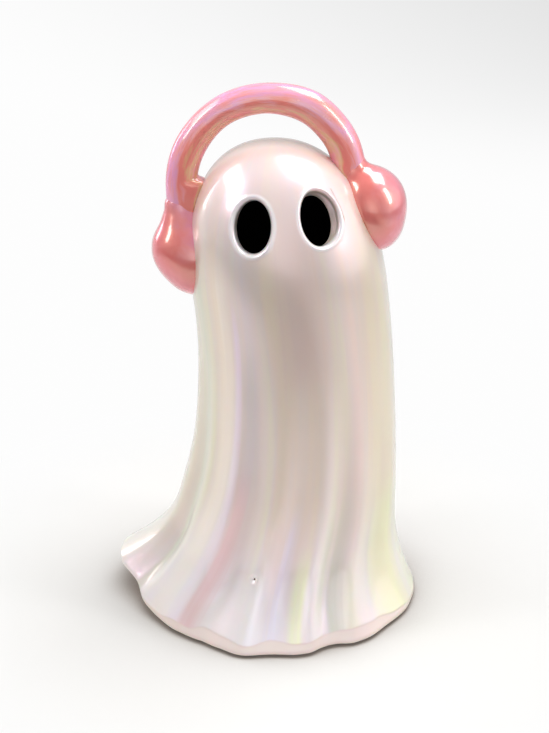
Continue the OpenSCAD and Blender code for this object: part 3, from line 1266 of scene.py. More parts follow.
        places = (places - [pin.turn, centre_s]) * [degree, whole]
        phase = np.arctan2(places[:, 1], places[:, 0])
        circle = np.stack([np.cos(phase), np.sin(phase)], 1)
        rings = []
        for k in pin.apron:
            spots = places * (1 - k) + circle * pin.rings[0] * k
            points, out = at(spots)
            rings.append((points + out * pin.relief(np.hypot(*spots.T))[:, None] * k, Finish.GLAZE))
        for rho in pin.rings:
            points, out = at(circle * rho)
            drop = pin.relief(rho) - max(0.0, pin.mouth_r - rho) * pin.mouth_slope
            rings.append((points + out * drop, Finish.GLAZE))
        centre, outward = skin(turn0, s0)
        for deep, rho in pin.well:
            rings.append((at(circle * rho)[0] - outward * deep, Finish.INSIDE))
        last = self.clay.chain(loop, rings)
        self.clay.close(last, self.clay.add(centre - outward * pin.bottom)[0], True, Finish.INSIDE)

    def inner_rows(self) -> list[tuple[np.ndarray, int]]:
        """Rows inside the figure, from the top of the head down to the base.

        Returns:
            The points and the finish of each row.
        """
        rows = [(self.dome(self.turns, phase, self.wall), Finish.INSIDE) for phase in self.phases[::-1]]
        for k in range(1, self.inner_skirt_rows + 1):
            s = 1 - (1 - self.base_t / self.shoulder_z) * k / self.inner_skirt_rows
            rows.append((self.skirt(self.turns, s, self.wall), Finish.INSIDE))
        return rows

    def base_rows(self) -> list[tuple[np.ndarray, int]]:
        """Rows of the base, in through its opening and out over its underside.

        Returns:
            The points and the finish of each row.
        """
        a = np.radians(self.turns)
        circle = np.stack([np.sin(a), -np.cos(a), 0 * a], 1)
        oval = circle * [1, self.depth_share, 0]
        lift = np.array([0, 0, 1.0])
        hole, edge = self.base_opening_d / 2, self.base_edge
        rows = [(oval * (hole + self.wall) + lift * self.base_t, Finish.INSIDE)]

        def rounded(bend: float, z: float) -> np.ndarray:
            """A row of the opening's edge at a bend from level."""
            return circle * (hole + edge - edge * cos(radians(bend))) + lift * z

        for bend in self.base_bends:
            z = self.base_t - edge + edge * sin(radians(bend))
            rows.append((rounded(bend, z), Finish.INSIDE if bend > 0 else Finish.FOOT))
        for bend in self.base_bends[::-1]:
            rows.append((rounded(bend, edge - edge * sin(radians(bend))), Finish.FOOT))
        foot = self.skirt_r(0) + self.fold(self.turns, 0 * self.turns) - 2 * self.hem_round
        for k in self.foot_shares:
            rows.append((circle * hole * (1 - k) + oval * (foot * k)[:, None], Finish.FOOT))
        return rows

    def hem_edge_rows(self) -> list[tuple[np.ndarray, int]]:
        """Rows of the hem's rounded edge.

        Returns:
            The points and the finish of each row.
        """
        rows = []
        for k in range(self.hem_rows):
            bend = radians(90 * k / self.hem_rows)
            s = self.hem_edge * (1 - cos(bend)) / self.shoulder_z
            finish = Finish.FOOT if k == 0 else Finish.GLAZE
            rows.append((self.skirt(self.turns, s, self.hem_edge * (1 - sin(bend))), finish))
        return rows

    def column(self, turn: float) -> int:
        """The column nearest to an angle."""
        return round((turn + 180) / 360 * self.columns)

    def eye_gaps(self, eye: Eye, sheet: Sheet, shoulder: int) -> tuple[np.ndarray, np.ndarray]:
        """Leaves the sheet open where an eye goes through the wall.

        Args:
            eye: the eye.
            sheet: the sheet, which starts with the inside of the head.
            shoulder: first row of the head outside.

        Returns:
            The indices round the gap outside and round the one inside.
        """
        out = eye.frame()[2]
        centre = self.eye_centre(eye)
        steps = [self.shoulder_z + self.dome_h * sin(radians(p)) for p in self.phases]
        low = int(np.searchsorted(steps, centre[2] - self.eye_gap_down))
        high = int(np.searchsorted(steps, centre[2] + self.eye_gap_up))
        half = self.eye_columns
        middle = self.column(self.face_turn + eye.side.value * self.eye_spread)
        outer = sheet.cut(shoulder + low, shoulder + high, middle - half, middle + half)
        x, y, z = self.cast(centre[None], out, self.wall)[0]
        middle = self.column(float(np.degrees(np.arctan2(x - self.bow(z), -y / self.depth_share))))
        between_rows = steps[(low + high) // 2 + 1] - steps[(low + high) // 2]
        shift = self.dome_rows - 1 + round((centre[2] - z) / between_rows)
        return outer, sheet.cut(shift - low, shift - high, middle - half, middle + half)

    def build(self, materials: Sequence[bpy.types.Material]) -> bpy.types.Object:
        """Builds the body as one closed mesh.

        Args:
            materials: glaze, dark inside and foot.

        Returns:
            The object, in the figure's own frame.
        """
        rows = self.inner_rows() + self.base_rows() + self.hem_edge_rows()
        hem = len(rows)
        rows += [(self.skirt(self.turns, s), Finish.GLAZE) for s in self.shares]
        shoulder = len(rows)
        rows += [(self.dome(self.turns, phase), Finish.GLAZE) for phase in self.phases]
        sheet = Sheet([self.clay.add(points) for points, _ in rows])
        eye_gaps = [self.eye_gaps(eye, sheet, shoulder) for eye in self.eyes]
        pin = self.pinhole
        heights = [self.skirt(np.array([pin.turn]), s)[0, 2] for s in self.shares]
        row, column = int(np.argmin(np.abs(np.array(heights) - pin.z))), self.column(pin.turn)
        around_pin = (hem + row - pin.half_rows, hem + row + pin.half_rows,
                      column - pin.half_columns, column + pin.half_columns)
        pin_loop = sheet.cut(*around_pin)
        pin_places = np.array([(self.turns[c], self.shares[r - hem]) for r, c in sheet.edge(*around_pin)])
        self.cover(sheet, [finish for _, finish in rows])
        for eye, (outer, inner) in zip(self.eyes, eye_gaps):
            self.cut_eye(eye, outer, inner)
        self.cut_pinhole(pin_loop, pin_places, self.shares[row])
        body = self.clay.piece("pearl_body", materials)
        self.mark(body.data)
        return body

    def cover(self, sheet: Sheet, finishes: Sequence[int]) -> None:
        """Adds the faces of the sheet outside its gaps and closes it under and over the top of the head.

        Args:
            sheet: the rows of points.
            finishes: the finish of each row.
        """
        grid = sheet.grid
        for r in range(len(grid) - 1):
            inside = finishes[r] == Finish.INSIDE
            finish = Finish.INSIDE if inside else max(finishes[r], finishes[r + 1])
            for c in range(self.columns):
                if not sheet.is_open(r, c):
                    d = (c + 1) % self.columns
                    self.clay.face((grid[r][c], grid[r][d], grid[r + 1][d], grid[r + 1][c]), finish)
        straight = np.array([0.0])
        under = self.clay.add(self.around(straight, 0.0, self.body_h - self.wall))[0]
        over = self.clay.add(self.around(straight, 0.0, self.body_h))[0]
        self.clay.close(grid[0], under, False, Finish.INSIDE)
        self.clay.close(grid[-1], over, True, Finish.GLAZE)

    def mark(self, mesh: bpy.types.Mesh) -> None:
        """Stores what the glaze's material reads, and makes the glaze stand out over the bare clay.

        Args:
            mesh: the body's mesh; it gets "around", the place round the figure, "above_glaze", the height
                over the edge of the glaze, "relief" of the folds and "lip", the tint of rims and cut walls.
        """
        points = points_of(mesh)
        x, y, z = points.T
        a = np.arctan2(x - self.bow(z), -y / self.depth_share)
        turn = np.degrees(a)
        s = np.clip(z / self.shoulder_z, 0, 1)
        hem = self.tail_lift * self.tail(turn) * (1 - s) ** self.tail_lift_power
        above = z - hem - self.glaze_z(turn)
        run = np.radians(self.swept(turn, z))
        note(mesh, "around", np.stack([np.sin(run), np.cos(run), z / self.body_h], 1))
        note(mesh, "above_glaze", np.clip(above, -6, 6))
        # relief carries the folds for their painted shade and light; shade_lead shifts that pattern a few
        # degrees outwards from the front, as the light falls on the folds.
        lead = self.shade_lead * np.clip(turn / self.shade_lead_turn, -1, 1)
        note(mesh, "relief", np.clip(self.fold(turn - lead, z) / self.fold_h, -1.5, 1.5) * (s < 1))
        # lip: painted highlight of the eye rims, less the painted shade on the right eye's cut wall.
        lip = np.zeros(len(points))
        for eye in self.eyes:
            rim, wall = eye.tint(points, self.eye_centre(eye))
            lip = np.maximum(lip, rim) - wall
        note(mesh, "lip", lip)
        outer = np.hypot(x, y) > self.base_opening_d / 2 + 8
        bare = 1 - smooth((above + self.glaze_t_fade / 2) / self.glaze_t_fade)
        inward = self.glaze_t * bare * (outer & (z < self.glazed_foot_z))
        points[:, 0] -= inward * np.sin(a)
        points[:, 1] += inward * np.cos(a) * self.depth_share
        put_points(mesh, points)


# The headphones


@dataclass
class PhoneFrame:
    """Frame of the headphones: u runs out to the right ear, v up the arch, from the line through the ears."""

    ghost: GhostBody
    ear_drop: float = 32.7
    tilt: float = 15.0
    shift: float = -1.4
    rise: float = 16.65
    tuck: float = 4.6

    @property
    def arch_r(self) -> float:
        """Radius of the arch along the middle of the band."""
        return self.ghost.head_r - self.tuck

    @property
    def origin(self) -> np.ndarray:
        """Middle of the line through the ears."""
        z = self.ghost.body_h - self.ear_drop
        return np.array([float(self.ghost.bow(z)) + self.shift, 0.0, z])

    @property
    def across(self) -> np.ndarray:
        """Direction out to the right ear."""
        return np.array([cos(radians(self.tilt)), 0.0, sin(radians(self.tilt))])

    @property
    def upward(self) -> np.ndarray:
        """Direction up the arch."""
        return np.array([-sin(radians(self.tilt)), 0.0, cos(radians(self.tilt))])

    def out(self, places: np.ndarray) -> np.ndarray:
        """Points of (u, y, v) places in the figure's frame."""
        return (self.origin + places[:, :1] * self.across + places[:, 1:2] * np.array([0, 1.0, 0])
                + places[:, 2:] * self.upward)

    def into(self, points: np.ndarray) -> np.ndarray:
        """The (u, y, v) places of points of the figure's frame."""
        offset = points - self.origin
        return np.stack([offset @ self.across, offset[:, 1], offset @ self.upward], 1)


class Tree(Nodes):
    """A geometry node tree with named inputs."""

    def __init__(self, name: str, inputs: Sequence[tuple[str, str, float | None]]) -> None:
        """Makes the tree with its input and output nodes.

        Args:
            name: name of the tree.
            inputs: label, socket type and value of each input.
        """
        super().__init__(bpy.data.node_groups.new(name, "GeometryNodeTree"))
        face = self.tree.interface
        face.new_socket("Geometry", in_out="INPUT", socket_type="NodeSocketGeometry")
        self.ids: dict[str, str] = {}
        for label, kind, value in inputs:
            socket = face.new_socket(label, in_out="INPUT", socket_type=kind)
            if value is not None:
                socket.default_value = value
            self.ids[label] = socket.identifier
        face.new_socket("Geometry", in_out="OUTPUT", socket_type="NodeSocketGeometry")
        self.source = self.node("NodeGroupInput")
        self.sink = self.node("NodeGroupOutput")

    def close(self, geometry: bpy.types.NodeSocket) -> None:
        """Ends the tree in real geometry with its material.

        Args:
            geometry: what the last node gives.
        """
        real = self.node("GeometryNodeRealizeInstances", None, {0: geometry})
        material = self.source.outputs["Material"]
        dressed = self.node("GeometryNodeSetMaterial", None, {0: real.outputs[0], "Material": material})
        self.tree.links.new(dressed.outputs[0], self.sink.inputs[0])

    def bake(self, carrier: bpy.types.Object, values: dict, name: str) -> bpy.types.Object:
        """Runs the tree on an object and keeps only the plain mesh.

        Args:
            carrier: the object whose geometry goes in; it is removed.
            values: values of the named inputs.
            name: name of the new object.

        Returns:
            The object with the mesh.
        """
        modifier = carrier.modifiers.new(self.tree.name, "NODES")
        modifier.node_group = self.tree
        for label, value in values.items():
            modifier[self.ids[label]] = value
        bpy.context.view_layer.update()
        done = carrier.evaluated_get(bpy.context.evaluated_depsgraph_get())
        mesh = bpy.data.meshes.new_from_object(done)
        carrier.modifiers.remove(modifier)
        bpy.data.objects.remove(carrier)
        mesh.name = name
        return linked(name, mesh)


@dataclass
class Headband:
    """The round bar over the head, swept along its arch and luted to the head at both feet.

    Angles go round the arch from the right foot, 0, over the top, 90, to the left foot, 180. A bulge is an
    angle, its width and how far the bar drifts out there.
    """

    phone: PhoneFrame
    rod_r: float = 5.3
    foot_v: float = 6.0
    swell_left: float = 0.4
    swell_right: float = 0.65
    weld_left: float = 27.2
    weld_right: float = 20.0
    weld_fade_left: float = 3.6
    weld_fade_right: float = 5.0
    weld_power: float = 0.8
    buried: float = 0.9
    widest_gap: float = 9.0
    bulges: tuple[tuple[float, float, float], ...] = ((47, 20, 1.3), (4, 12, -0.9))
    inward: float = 0.45
    swell_turn_left: float = 100.0
    swell_turn_right: float = 80.0
    swell_run: float = 30.0
    right_foot_out: float = 0.9
    right_foot_turn: float = 38.0
    feet_drift: tuple[float, float] = (1.2, 0.9)
    feet_from_u: float = 20.0
    feet_run_u: float = 12.0
    feet_top_v: float = 24.0
    feet_run_v: float = 14.0
    post_points: int = 12
    arch_points: int = 73
    rings: int = 150
    around: int = 48
    flow_length: float = 14.0
    flow_out: float = 0.7
    weld_from: float = -1.0

    def drift(self, turn: np.ndarray) -> np.ndarray:
        """How far the middle of the bar drifts out of the true arch, as a hand bends it.

        Args:
            turn: angles round the arch.

        Returns:
            The distances.
        """
        out = sum(height * bell(turn, place, width) for place, width, height in self.bulges) - self.inward
        out = out - self.swell_left * smooth((turn - self.swell_turn_left) / self.swell_run)
        out = out - self.swell_right * smooth((self.swell_turn_right - turn) / self.swell_run)
        return out + self.right_foot_out * smooth((self.right_foot_turn - turn) / self.right_foot_turn)

    def path(self) -> np.ndarray:
        """Places along the middle of the band from the left foot to the right one.

        Returns:
            Rows of (u, y, v).
        """
        rise, arch_r = self.phone.rise, self.phone.arch_r
        down = np.linspace(0, rise - self.foot_v, self.post_points)
        arch = [(-arch_r, rise - k) for k in down[:0:-1]]
        for k in np.linspace(180, 0, self.arch_points):
            arch.append((arch_r * cos(radians(k)), rise + arch_r * sin(radians(k))))
        arch += [(arch_r, rise - k) for k in down[1:]]
        u, v = np.array(arch).T
        turn = np.degrees(np.arctan2(v - rise, u))
        turn = np.where((u < 0) & (turn < 0), turn + 360, turn)
        out = self.drift(turn)
        u, v = u + out * np.cos(np.radians(turn)), v + out * np.sin(np.radians(turn)) * (v > rise)
        low = smooth((self.feet_top_v - v) / self.feet_run_v)
        for sign, drift in zip((-1, 1), self.feet_drift):
            side = smooth((sign * u - self.feet_from_u) / self.feet_run_u)
            u = u - drift * side * low
        return np.stack([u, 0 * u, v], 1)

    def tree(self) -> Tree:
        """The sweep: a rod along the curve that swells towards its feet.

        Returns:
            The tree.
        """
        tree = Tree("band_sweep", [
            ("Rod radius", "NodeSocketFloat", self.rod_r * MM), ("Left swell", "NodeSocketFloat", 0.0),
            ("Right swell", "NodeSocketFloat", 0.0), ("Rings", "NodeSocketInt", self.rings),
            ("Around", "NodeSocketInt", self.around), ("Material", "NodeSocketMaterial", None)])
        said = tree.source.outputs
        even = tree.node("GeometryNodeResampleCurve", None, {
            "Curve": said["Geometry"], "Count": said["Rings"]})
        along = tree.node("GeometryNodeSplineParameter").outputs["Factor"]
        total = said["Rod radius"]
        for low, high, most in ((0.42, 0.26, said["Left swell"]), (0.55, 0.72, said["Right swell"])):
            share = tree.node("ShaderNodeMapRange", {"interpolation_type": "SMOOTHSTEP"}, {
                "Value": along, "From Min": low, "From Max": high})
            more = tree.node("ShaderNodeMath", {"operation": "MULTIPLY"}, {0: share.outputs[0], 1: most})
            grown = tree.node("ShaderNodeMath", {"operation": "ADD"}, {0: total, 1: more.outputs[0]})
            total = grown.outputs[0]
        ring = tree.node("GeometryNodeCurvePrimitiveCircle", None, {
            "Resolution": said["Around"], "Radius": 1.0})
        sweep = tree.node("GeometryNodeCurveToMesh", None, {
            "Curve": even.outputs[0], "Profile Curve": ring.outputs[0], "Scale": total, "Fill Caps": True})
        soft = tree.node("GeometryNodeSetShadeSmooth", None, {0: sweep.outputs[0]})
        tree.close(soft.outputs[0])
        return tree

    def build(self, material: bpy.types.Material) -> bpy.types.Object:
        """Builds the band.

        Args:
            material: its glaze.

        Returns:
            The object, in the figure's own frame.
        """
        places = self.path()
        curve = bpy.data.curves.new("band_path", "CURVE")
        curve.dimensions = "3D"
        spline = curve.splines.new("POLY")
        spline.points.add(len(places) - 1)
        for point, place in zip(spline.points, self.phone.out(places) * MM):
            point.co = (*place, 1.0)
        band = self.tree().bake(linked("band_path", curve), {
            "Rod radius": self.rod_r * MM, "Left swell": self.swell_left * MM,
            "Right swell": self.swell_right * MM, "Rings": self.rings, "Around": self.around,
            "Material": material}, "pink_headband")
        self.lute(band.data)
        return band

    def gap_to_head(self, points: np.ndarray, way: np.ndarray) -> np.ndarray:
        """Distance from points to the head along level directions, found step by step.

        Args:
            points: the points.
            way: a direction for each point.

        Returns:
            The distances.
        """
        rounds, longest_step, share_of_step = 30, 2.0, 0.7
        gap = np.zeros(len(points))
        for _ in range(rounds):
            left = self.phone.ghost.depth(points + way * gap[:, None])
            gap = gap + np.clip(left, -longest_step, longest_step) * share_of_step
        return gap

    def lute(self, mesh: bpy.types.Mesh) -> None:
        """Draws the inner side of the band over to the head at its feet and notes the flow of the lustre.

        Args:
            mesh: the band's mesh.
        """
        points = points_of(mesh)
        u, y, v = self.phone.into(points).T
        rise, arch_r = self.phone.rise, self.phone.arch_r
        below, side = v < rise, np.sign(u)
        radial = np.where(below, np.abs(u), np.hypot(u, v - rise)) - arch_r
        inner = np.clip(-radial / self.rod_r, 0, 1) ** self.weld_power
        top = np.where(u < 0, self.weld_left, self.weld_right)
        fade = np.where(u < 0, self.weld_fade_left, self.weld_fade_right)
        share = smooth((top - v) / fade) * inner * (self.phone.ghost.depth(points) > self.weld_from)
        way = -side[:, None] * self.phone.across
        gap = np.clip(self.gap_to_head(points, way) + self.buried, 0, self.widest_gap)
        put_points(mesh, points + way * (gap * share)[:, None])
        turn = np.arctan2(v - rise, u)
        length = np.where(below, side * (arch_r * pi / 2 + rise - v), arch_r * (pi / 2 - turn))
        lie = np.clip((radial + self.flow_out) / self.rod_r, -1, 1)
        note(mesh, "flow", np.stack([length / self.flow_length, lie, y / self.rod_r], 1))


@dataclass(frozen=True)
class Lump:
    """A rounded lump of clay in an ear's frame; middle and half sizes run out of the ear, ahead and up."""

    middle: tuple[float, float, float]
    half: tuple[float, float, float]

    def distance(self, places: np.ndarray) -> np.ndarray:
        """Signed distance of places to the lump.

        Args:
            places: rows of (q, y, v).

        Returns:
            The distances.
        """
        scaled = (places - np.array(self.middle)) / np.array(self.half)
        length = np.linalg.norm(scaled, axis=-1)
        return length * (length - 1) / (np.linalg.norm(scaled / np.array(self.half), axis=-1) + 1e-9)


@dataclass(frozen=True)
class Neck:
    """A round neck on which the band is luted to an ear; low and high are its balls' (q, v, radius)."""

    low: tuple[float, float, float]
    high: tuple[float, float, float]
    soft: float

    def distance(self, places: np.ndarray) -> np.ndarray:
        """Signed distance of places to the neck.

        Args:
            places: rows of (q, y, v).

        Returns:
            The distances.
        """
        (q0, v0, r0), (q1, v1, r1) = self.low, self.high
        low, way = np.array([q0, 0, v0]), np.array([q1 - q0, 0, v1 - v0])
        share = np.clip((places - low) @ way / (way @ way), 0, 1)
        offset = places - low - share[..., None] * way
        return np.linalg.norm(offset, axis=-1) - r0 - share * (r1 - r0)


@dataclass
class EarPiece:
    """A pad with its cup, thrown as one soft form and luted to the head under the band.

    lie is where the inner side's lower end, its upper end and the outer side lie in the lustre's painted
    reflections.
    """

    phone: PhoneFrame
    side: Side
    pad: Lump
    cup: Lump
    neck: Neck
    lie: tuple[float, float, float]
    cup_soft: float = 1.3
    middle_in: float = 0.5
    middle_up: float = 1.0
    reach: tuple[float, float] = (0.5, 34.0)
    buried: float = 2.6
    rings: int = 84
    rings_power: float = 0.9
    around: int = 128
    lie_from_u: float = 41.0
    lie_run_u: float = 14.0
    lie_from_v: float = -7.0
    lie_run_v: float = 14.0
    flow_length: float = 12.0
    flow_offset: float = 20.0

    def form(self, places: np.ndarray) -> np.ndarray:
        """Signed distance to the form of (q, y, v) places, where q runs out of the ear."""
        bulb = self.blend(self.pad.distance(places), self.cup.distance(places), self.cup_soft)
        return self.blend(bulb, self.neck.distance(places), self.neck.soft)

    @staticmethod
    def blend(a: np.ndarray, b: np.ndarray, soft: float) -> np.ndarray:
        """Joins two forms with a soft fillet."""
        h = np.clip(0.5 + 0.5 * (b - a) / soft, 0, 1)
        return b * (1 - h) + a * h - soft * h * (1 - h)

    def thrown(self, ways: np.ndarray) -> np.ndarray:
        """Points of the form along directions from its middle, in the figure's own frame.

        Args:
            ways: the directions.

        Returns:
            The points.
        """
        centre = np.array([self.phone.arch_r - self.middle_in, 0.0, self.middle_up])
        far = leave(lambda k: self.form(centre + k[:, None] * ways) > 0, len(ways), *self.reach)
        return self.sunk(self.phone.out((centre + far[:, None] * ways) * [self.side.value, 1, 1]))

    def build(self, material: bpy.types.Material) -> bpy.types.Object:
        """Builds the ear piece.

        Args:
            material: its glaze.

        Returns:
            The object, in the figure's own frame.
        """
        clay = Clay()
        beta = 2 * pi * np.arange(self.around) / self.around
        rings = []
        for polar in 180 * (np.arange(1, self.rings) / self.rings) ** self.rings_power:
            a = radians(polar)
            ways = [np.full(self.around, cos(a)), sin(a) * np.sin(beta), sin(a) * np.cos(beta)]
            rings.append(self.thrown(np.stack(ways, 1)))
        outward = np.array([[1.0, 0, 0]])
        clay.shell(self.thrown(outward), rings, self.thrown(-outward))
        if self.side is Side.RIGHT:
            clay.faces = [face[::-1] for face in clay.faces]
        piece = clay.piece(f"pink_{self.side.name.lower()}_ear", [material])
        self.flow(piece.data)
        return piece

    def sunk(self, points: np.ndarray) -> np.ndarray:
        """Points held just under the head's surface where they lay deeper in the head.

        Args:
            points: the points.

        Returns:
            The points in their new places.
        """
        rounds, longest_step = 60, 2.0
        way = self.side.value * self.phone.across
        for _ in range(rounds):
            deep = -self.phone.ghost.depth(points) - self.buried
            points = points + way * np.clip(deep, 0, longest_step)[:, None]
        return points

    def flow(self, mesh: bpy.types.Mesh) -> None:
        """Notes the flow of the lustre over the ear piece.

        Args:
            mesh: the ear piece's mesh.
        """
        u, y, v = self.phone.into(points_of(mesh)).T
        low, high, outer = self.lie
        inner = smooth((self.lie_from_u - np.abs(u)) / self.lie_run_u)
        rise = smooth((v - self.lie_from_v) / self.lie_run_v)
        lie = outer * (1 - inner) + inner * (low + (high - low) * rise)
        along = v / self.flow_length + self.flow_offset * self.side.value
        note(mesh, "flow", np.stack([along, lie, y / self.flow_length], 1))


@dataclass
class Bumpers:
    """Four soft bumpers under the foot, one rounded disc set down four times."""

    ghost: GhostBody
    across: float = 10.0
    tall: float = 1.0
    edge: float = 0.35
    hollow: float = 0.12
    hollow_edge: float = 0.07
    hollow_r: float = 0.6
    steps: tuple[float, ...] = (0, 22, 45, 67, 90)
    around: int = 40
    turns: tuple[float, ...] = (-45.0, 45.0, 135.0, -135.0)

    def profile(self) -> list[tuple[float, float]]:
        """Radius and height of each ring, from the slightly hollow underside up and over the rounded edge.

        Returns:
            The pairs of radius and height.
        """
        r, h, e = self.across / 2, self.tall, self.edge
        line = [(self.hollow_r, self.hollow), (r * 0.55, self.hollow_edge), (r - 2 * e, 0.0)]
        line += [(r - e + e * sin(radians(k)), e - e * cos(radians(k))) for k in self.steps]
        line += [(r - e + e * cos(radians(k)), h - e + e * sin(radians(k))) for k in self.steps]
        return line + [(r * 0.5, h), (self.hollow_r, h)]

    def disc(self, material: bpy.types.Material) -> bpy.types.Object:
        """One bumper, with its top at height 0.

        Args:
            material: its silicone.

        Returns:
            The object.
        """
        turn = 2 * pi * np.arange(self.around) / self.around
        circle = np.stack([np.cos(turn), np.sin(turn), 0 * turn], 1)
        rings = [circle * radius + [0, 0, z - self.tall] for radius, z in self.profile()]
        clay = Clay()
        clay.shell(np.array([[0, 0, self.hollow - self.tall]]), rings, np.array([[0, 0, 0.0]]))
        return clay.piece("bumper_form", [material])

    def tree(self) -> Tree:
        """The setting down: the form on each point.

        Returns:
            The tree.
        """
        tree = Tree("bumper_set", [
            ("Form", "NodeSocketObject", None), ("Material", "NodeSocketMaterial", None)])
        said = tree.source.outputs
        spot = tree.node("GeometryNodeMeshToPoints", None, {0: said["Geometry"]})
        shape = tree.node("GeometryNodeObjectInfo", None, {"Object": said["Form"]})
        place = tree.node("GeometryNodeInstanceOnPoints", None, {
            "Points": spot.outputs[0], "Instance": shape.outputs["Geometry"]})
        tree.close(place.outputs[0])
        return tree

    def build(self, material: bpy.types.Material) -> bpy.types.Object:
        """Builds the four bumpers.

        Args:
            material: their silicone.

        Returns:
            The object with all four, in the figure's own frame.
        """
        form, ghost = self.disc(material), self.ghost
        ring = (ghost.base_opening_d / 2 + ghost.skirt_r(0) - 2 * ghost.hem_round) / 2
        spots = [(ring * sin(radians(t)), -ring * cos(radians(t)), 0.0) for t in self.turns]
        mesh = bpy.data.meshes.new("bumper_spots")
        mesh.from_pydata((np.array(spots) * MM).tolist(), [], [])
        values = {"Form": form, "Material": material}
        made = self.tree().bake(linked("bumper_spots", mesh), values, "silicone_bumpers")
        bpy.data.objects.remove(form)
        return made


# The studio


@dataclass(frozen=True)
class Softbox:
    """One flat lamp that looks at the figure."""

    name: str
    place: tuple[float, float, float]
    aim: tuple[float, float, float]
    size: tuple[float, float]
    watts: float
    mirrored: bool = True

    def hang(self) -> None:
        """Adds the lamp."""
        data = bpy.data.lights.new(self.name, "AREA")
        data.shape = "RECTANGLE"
        data.size, data.size_y = self.size[0] * MM, self.size[1] * MM
        data.energy = self.watts
        lamp = linked(self.name, data)
        place = Vector(self.place) * MM
        look = (Vector(self.aim) * MM - place).to_track_quat("-Z", "Y")
        lamp.matrix_world = Matrix.LocRotScale(place, look, None)
        lamp.visible_glossy = self.mirrored


@dataclass(frozen=True)
class Glow:
    """A soft bright part of the room; matt and mirrored are its strengths for such rays."""

    axis: tuple[float, float, float]
    tight: float
    matt: float
    mirrored: float


@dataclass(frozen=True)
class WhiteFloor:
    """White paper of the floor and the backdrop, with a soft shadow where the figure stands on it.

    Places and distances are metres. Camera rays alone see the lift and the core of the shadow. They also see
    the paper far from the figure bright, and mirrored rays see a share of that brightness behind it. To
    mirrored and matt rays the room in front of the table and to its left is darker.
    """

    paper: tuple[Colour, Colour] = ((0.72, 0.715, 0.70), (0.74, 0.735, 0.72))
    room_matt: Colour = (0.42, 0.42, 0.42)
    room_mirrored: Colour = (0.14, 0.14, 0.14)
    core: Colour = (0.20, 0.155, 0.12)
    core_reach: float = 0.030
    white: Colour = (0.985, 0.985, 0.985)
    corner: Colour = (0.70, 0.70, 0.70)
    lift: float = 0.06
    table_front: tuple[float, float] = (-0.34, -0.20)
    table_right: tuple[float, float] = (0.12, 0.30)
    far: tuple[float, float] = (0.07, 0.17)
    corner_from: tuple[float, float] = (0.75, 2.0)
    behind: tuple[float, float] = (0.15, 0.50)
    behind_share: float = 0.7

    def material(self) -> bpy.types.Material:
        """Makes the material.

        Returns:
            The material.
        """
        bench = Bench(bpy.data.materials.new("white_floor"))
        seen, mirrored = bench.rays()
        across, ahead, _ = bench.axes(bench.place())
        paper = bench.mix(bench.noise(bench.place(), scale=2.0), *self.paper)
        table = bench.most(bench.step(ahead, *self.table_front), bench.step(across, *self.table_right))
        room = bench.mix(mirrored, self.room_matt, self.room_mirrored)
        paper = bench.mix(bench.most(table, seen), room, paper)
        # Painted contact shadow: for camera rays the paper turns towards core where ambient occlusion finds
        # the figure close.
        inputs = {"Distance": self.core_reach}
        near = bench.wire("ShaderNodeAmbientOcclusion", {"samples": 12}, inputs, "AO")
        paper = bench.mix((1.0 - bench.step(near, 0.25, 1.0)) * seen, paper, self.core)
        matt = bench.node("ShaderNodeBsdfPrincipled", None, {
            "Base Color": paper, "Roughness": 0.85, "Specular IOR Level": 0.2,
            "Emission Color": bench.mix(seen * self.lift, (0.0, 0.0, 0.0), (1.0, 1.0, 1.0)),
            "Emission Strength": 1.0})
        white = bench.mix(bench.step(ahead + across * 0.9, *self.corner_from), self.white, self.corner)
        glow = bench.node("ShaderNodeEmission", None, {"Color": white, "Strength": 1.0})
        far = bench.step((across * across + ahead * ahead) ** 0.5, *self.far)
        behind = mirrored * bench.step(ahead, *self.behind) * self.behind_share
        return bench.finish(bench.node("ShaderNodeMixShader", None, {
            0: far * bench.most(seen, behind), 1: matt.outputs[0], 2: glow.outputs[0]}))


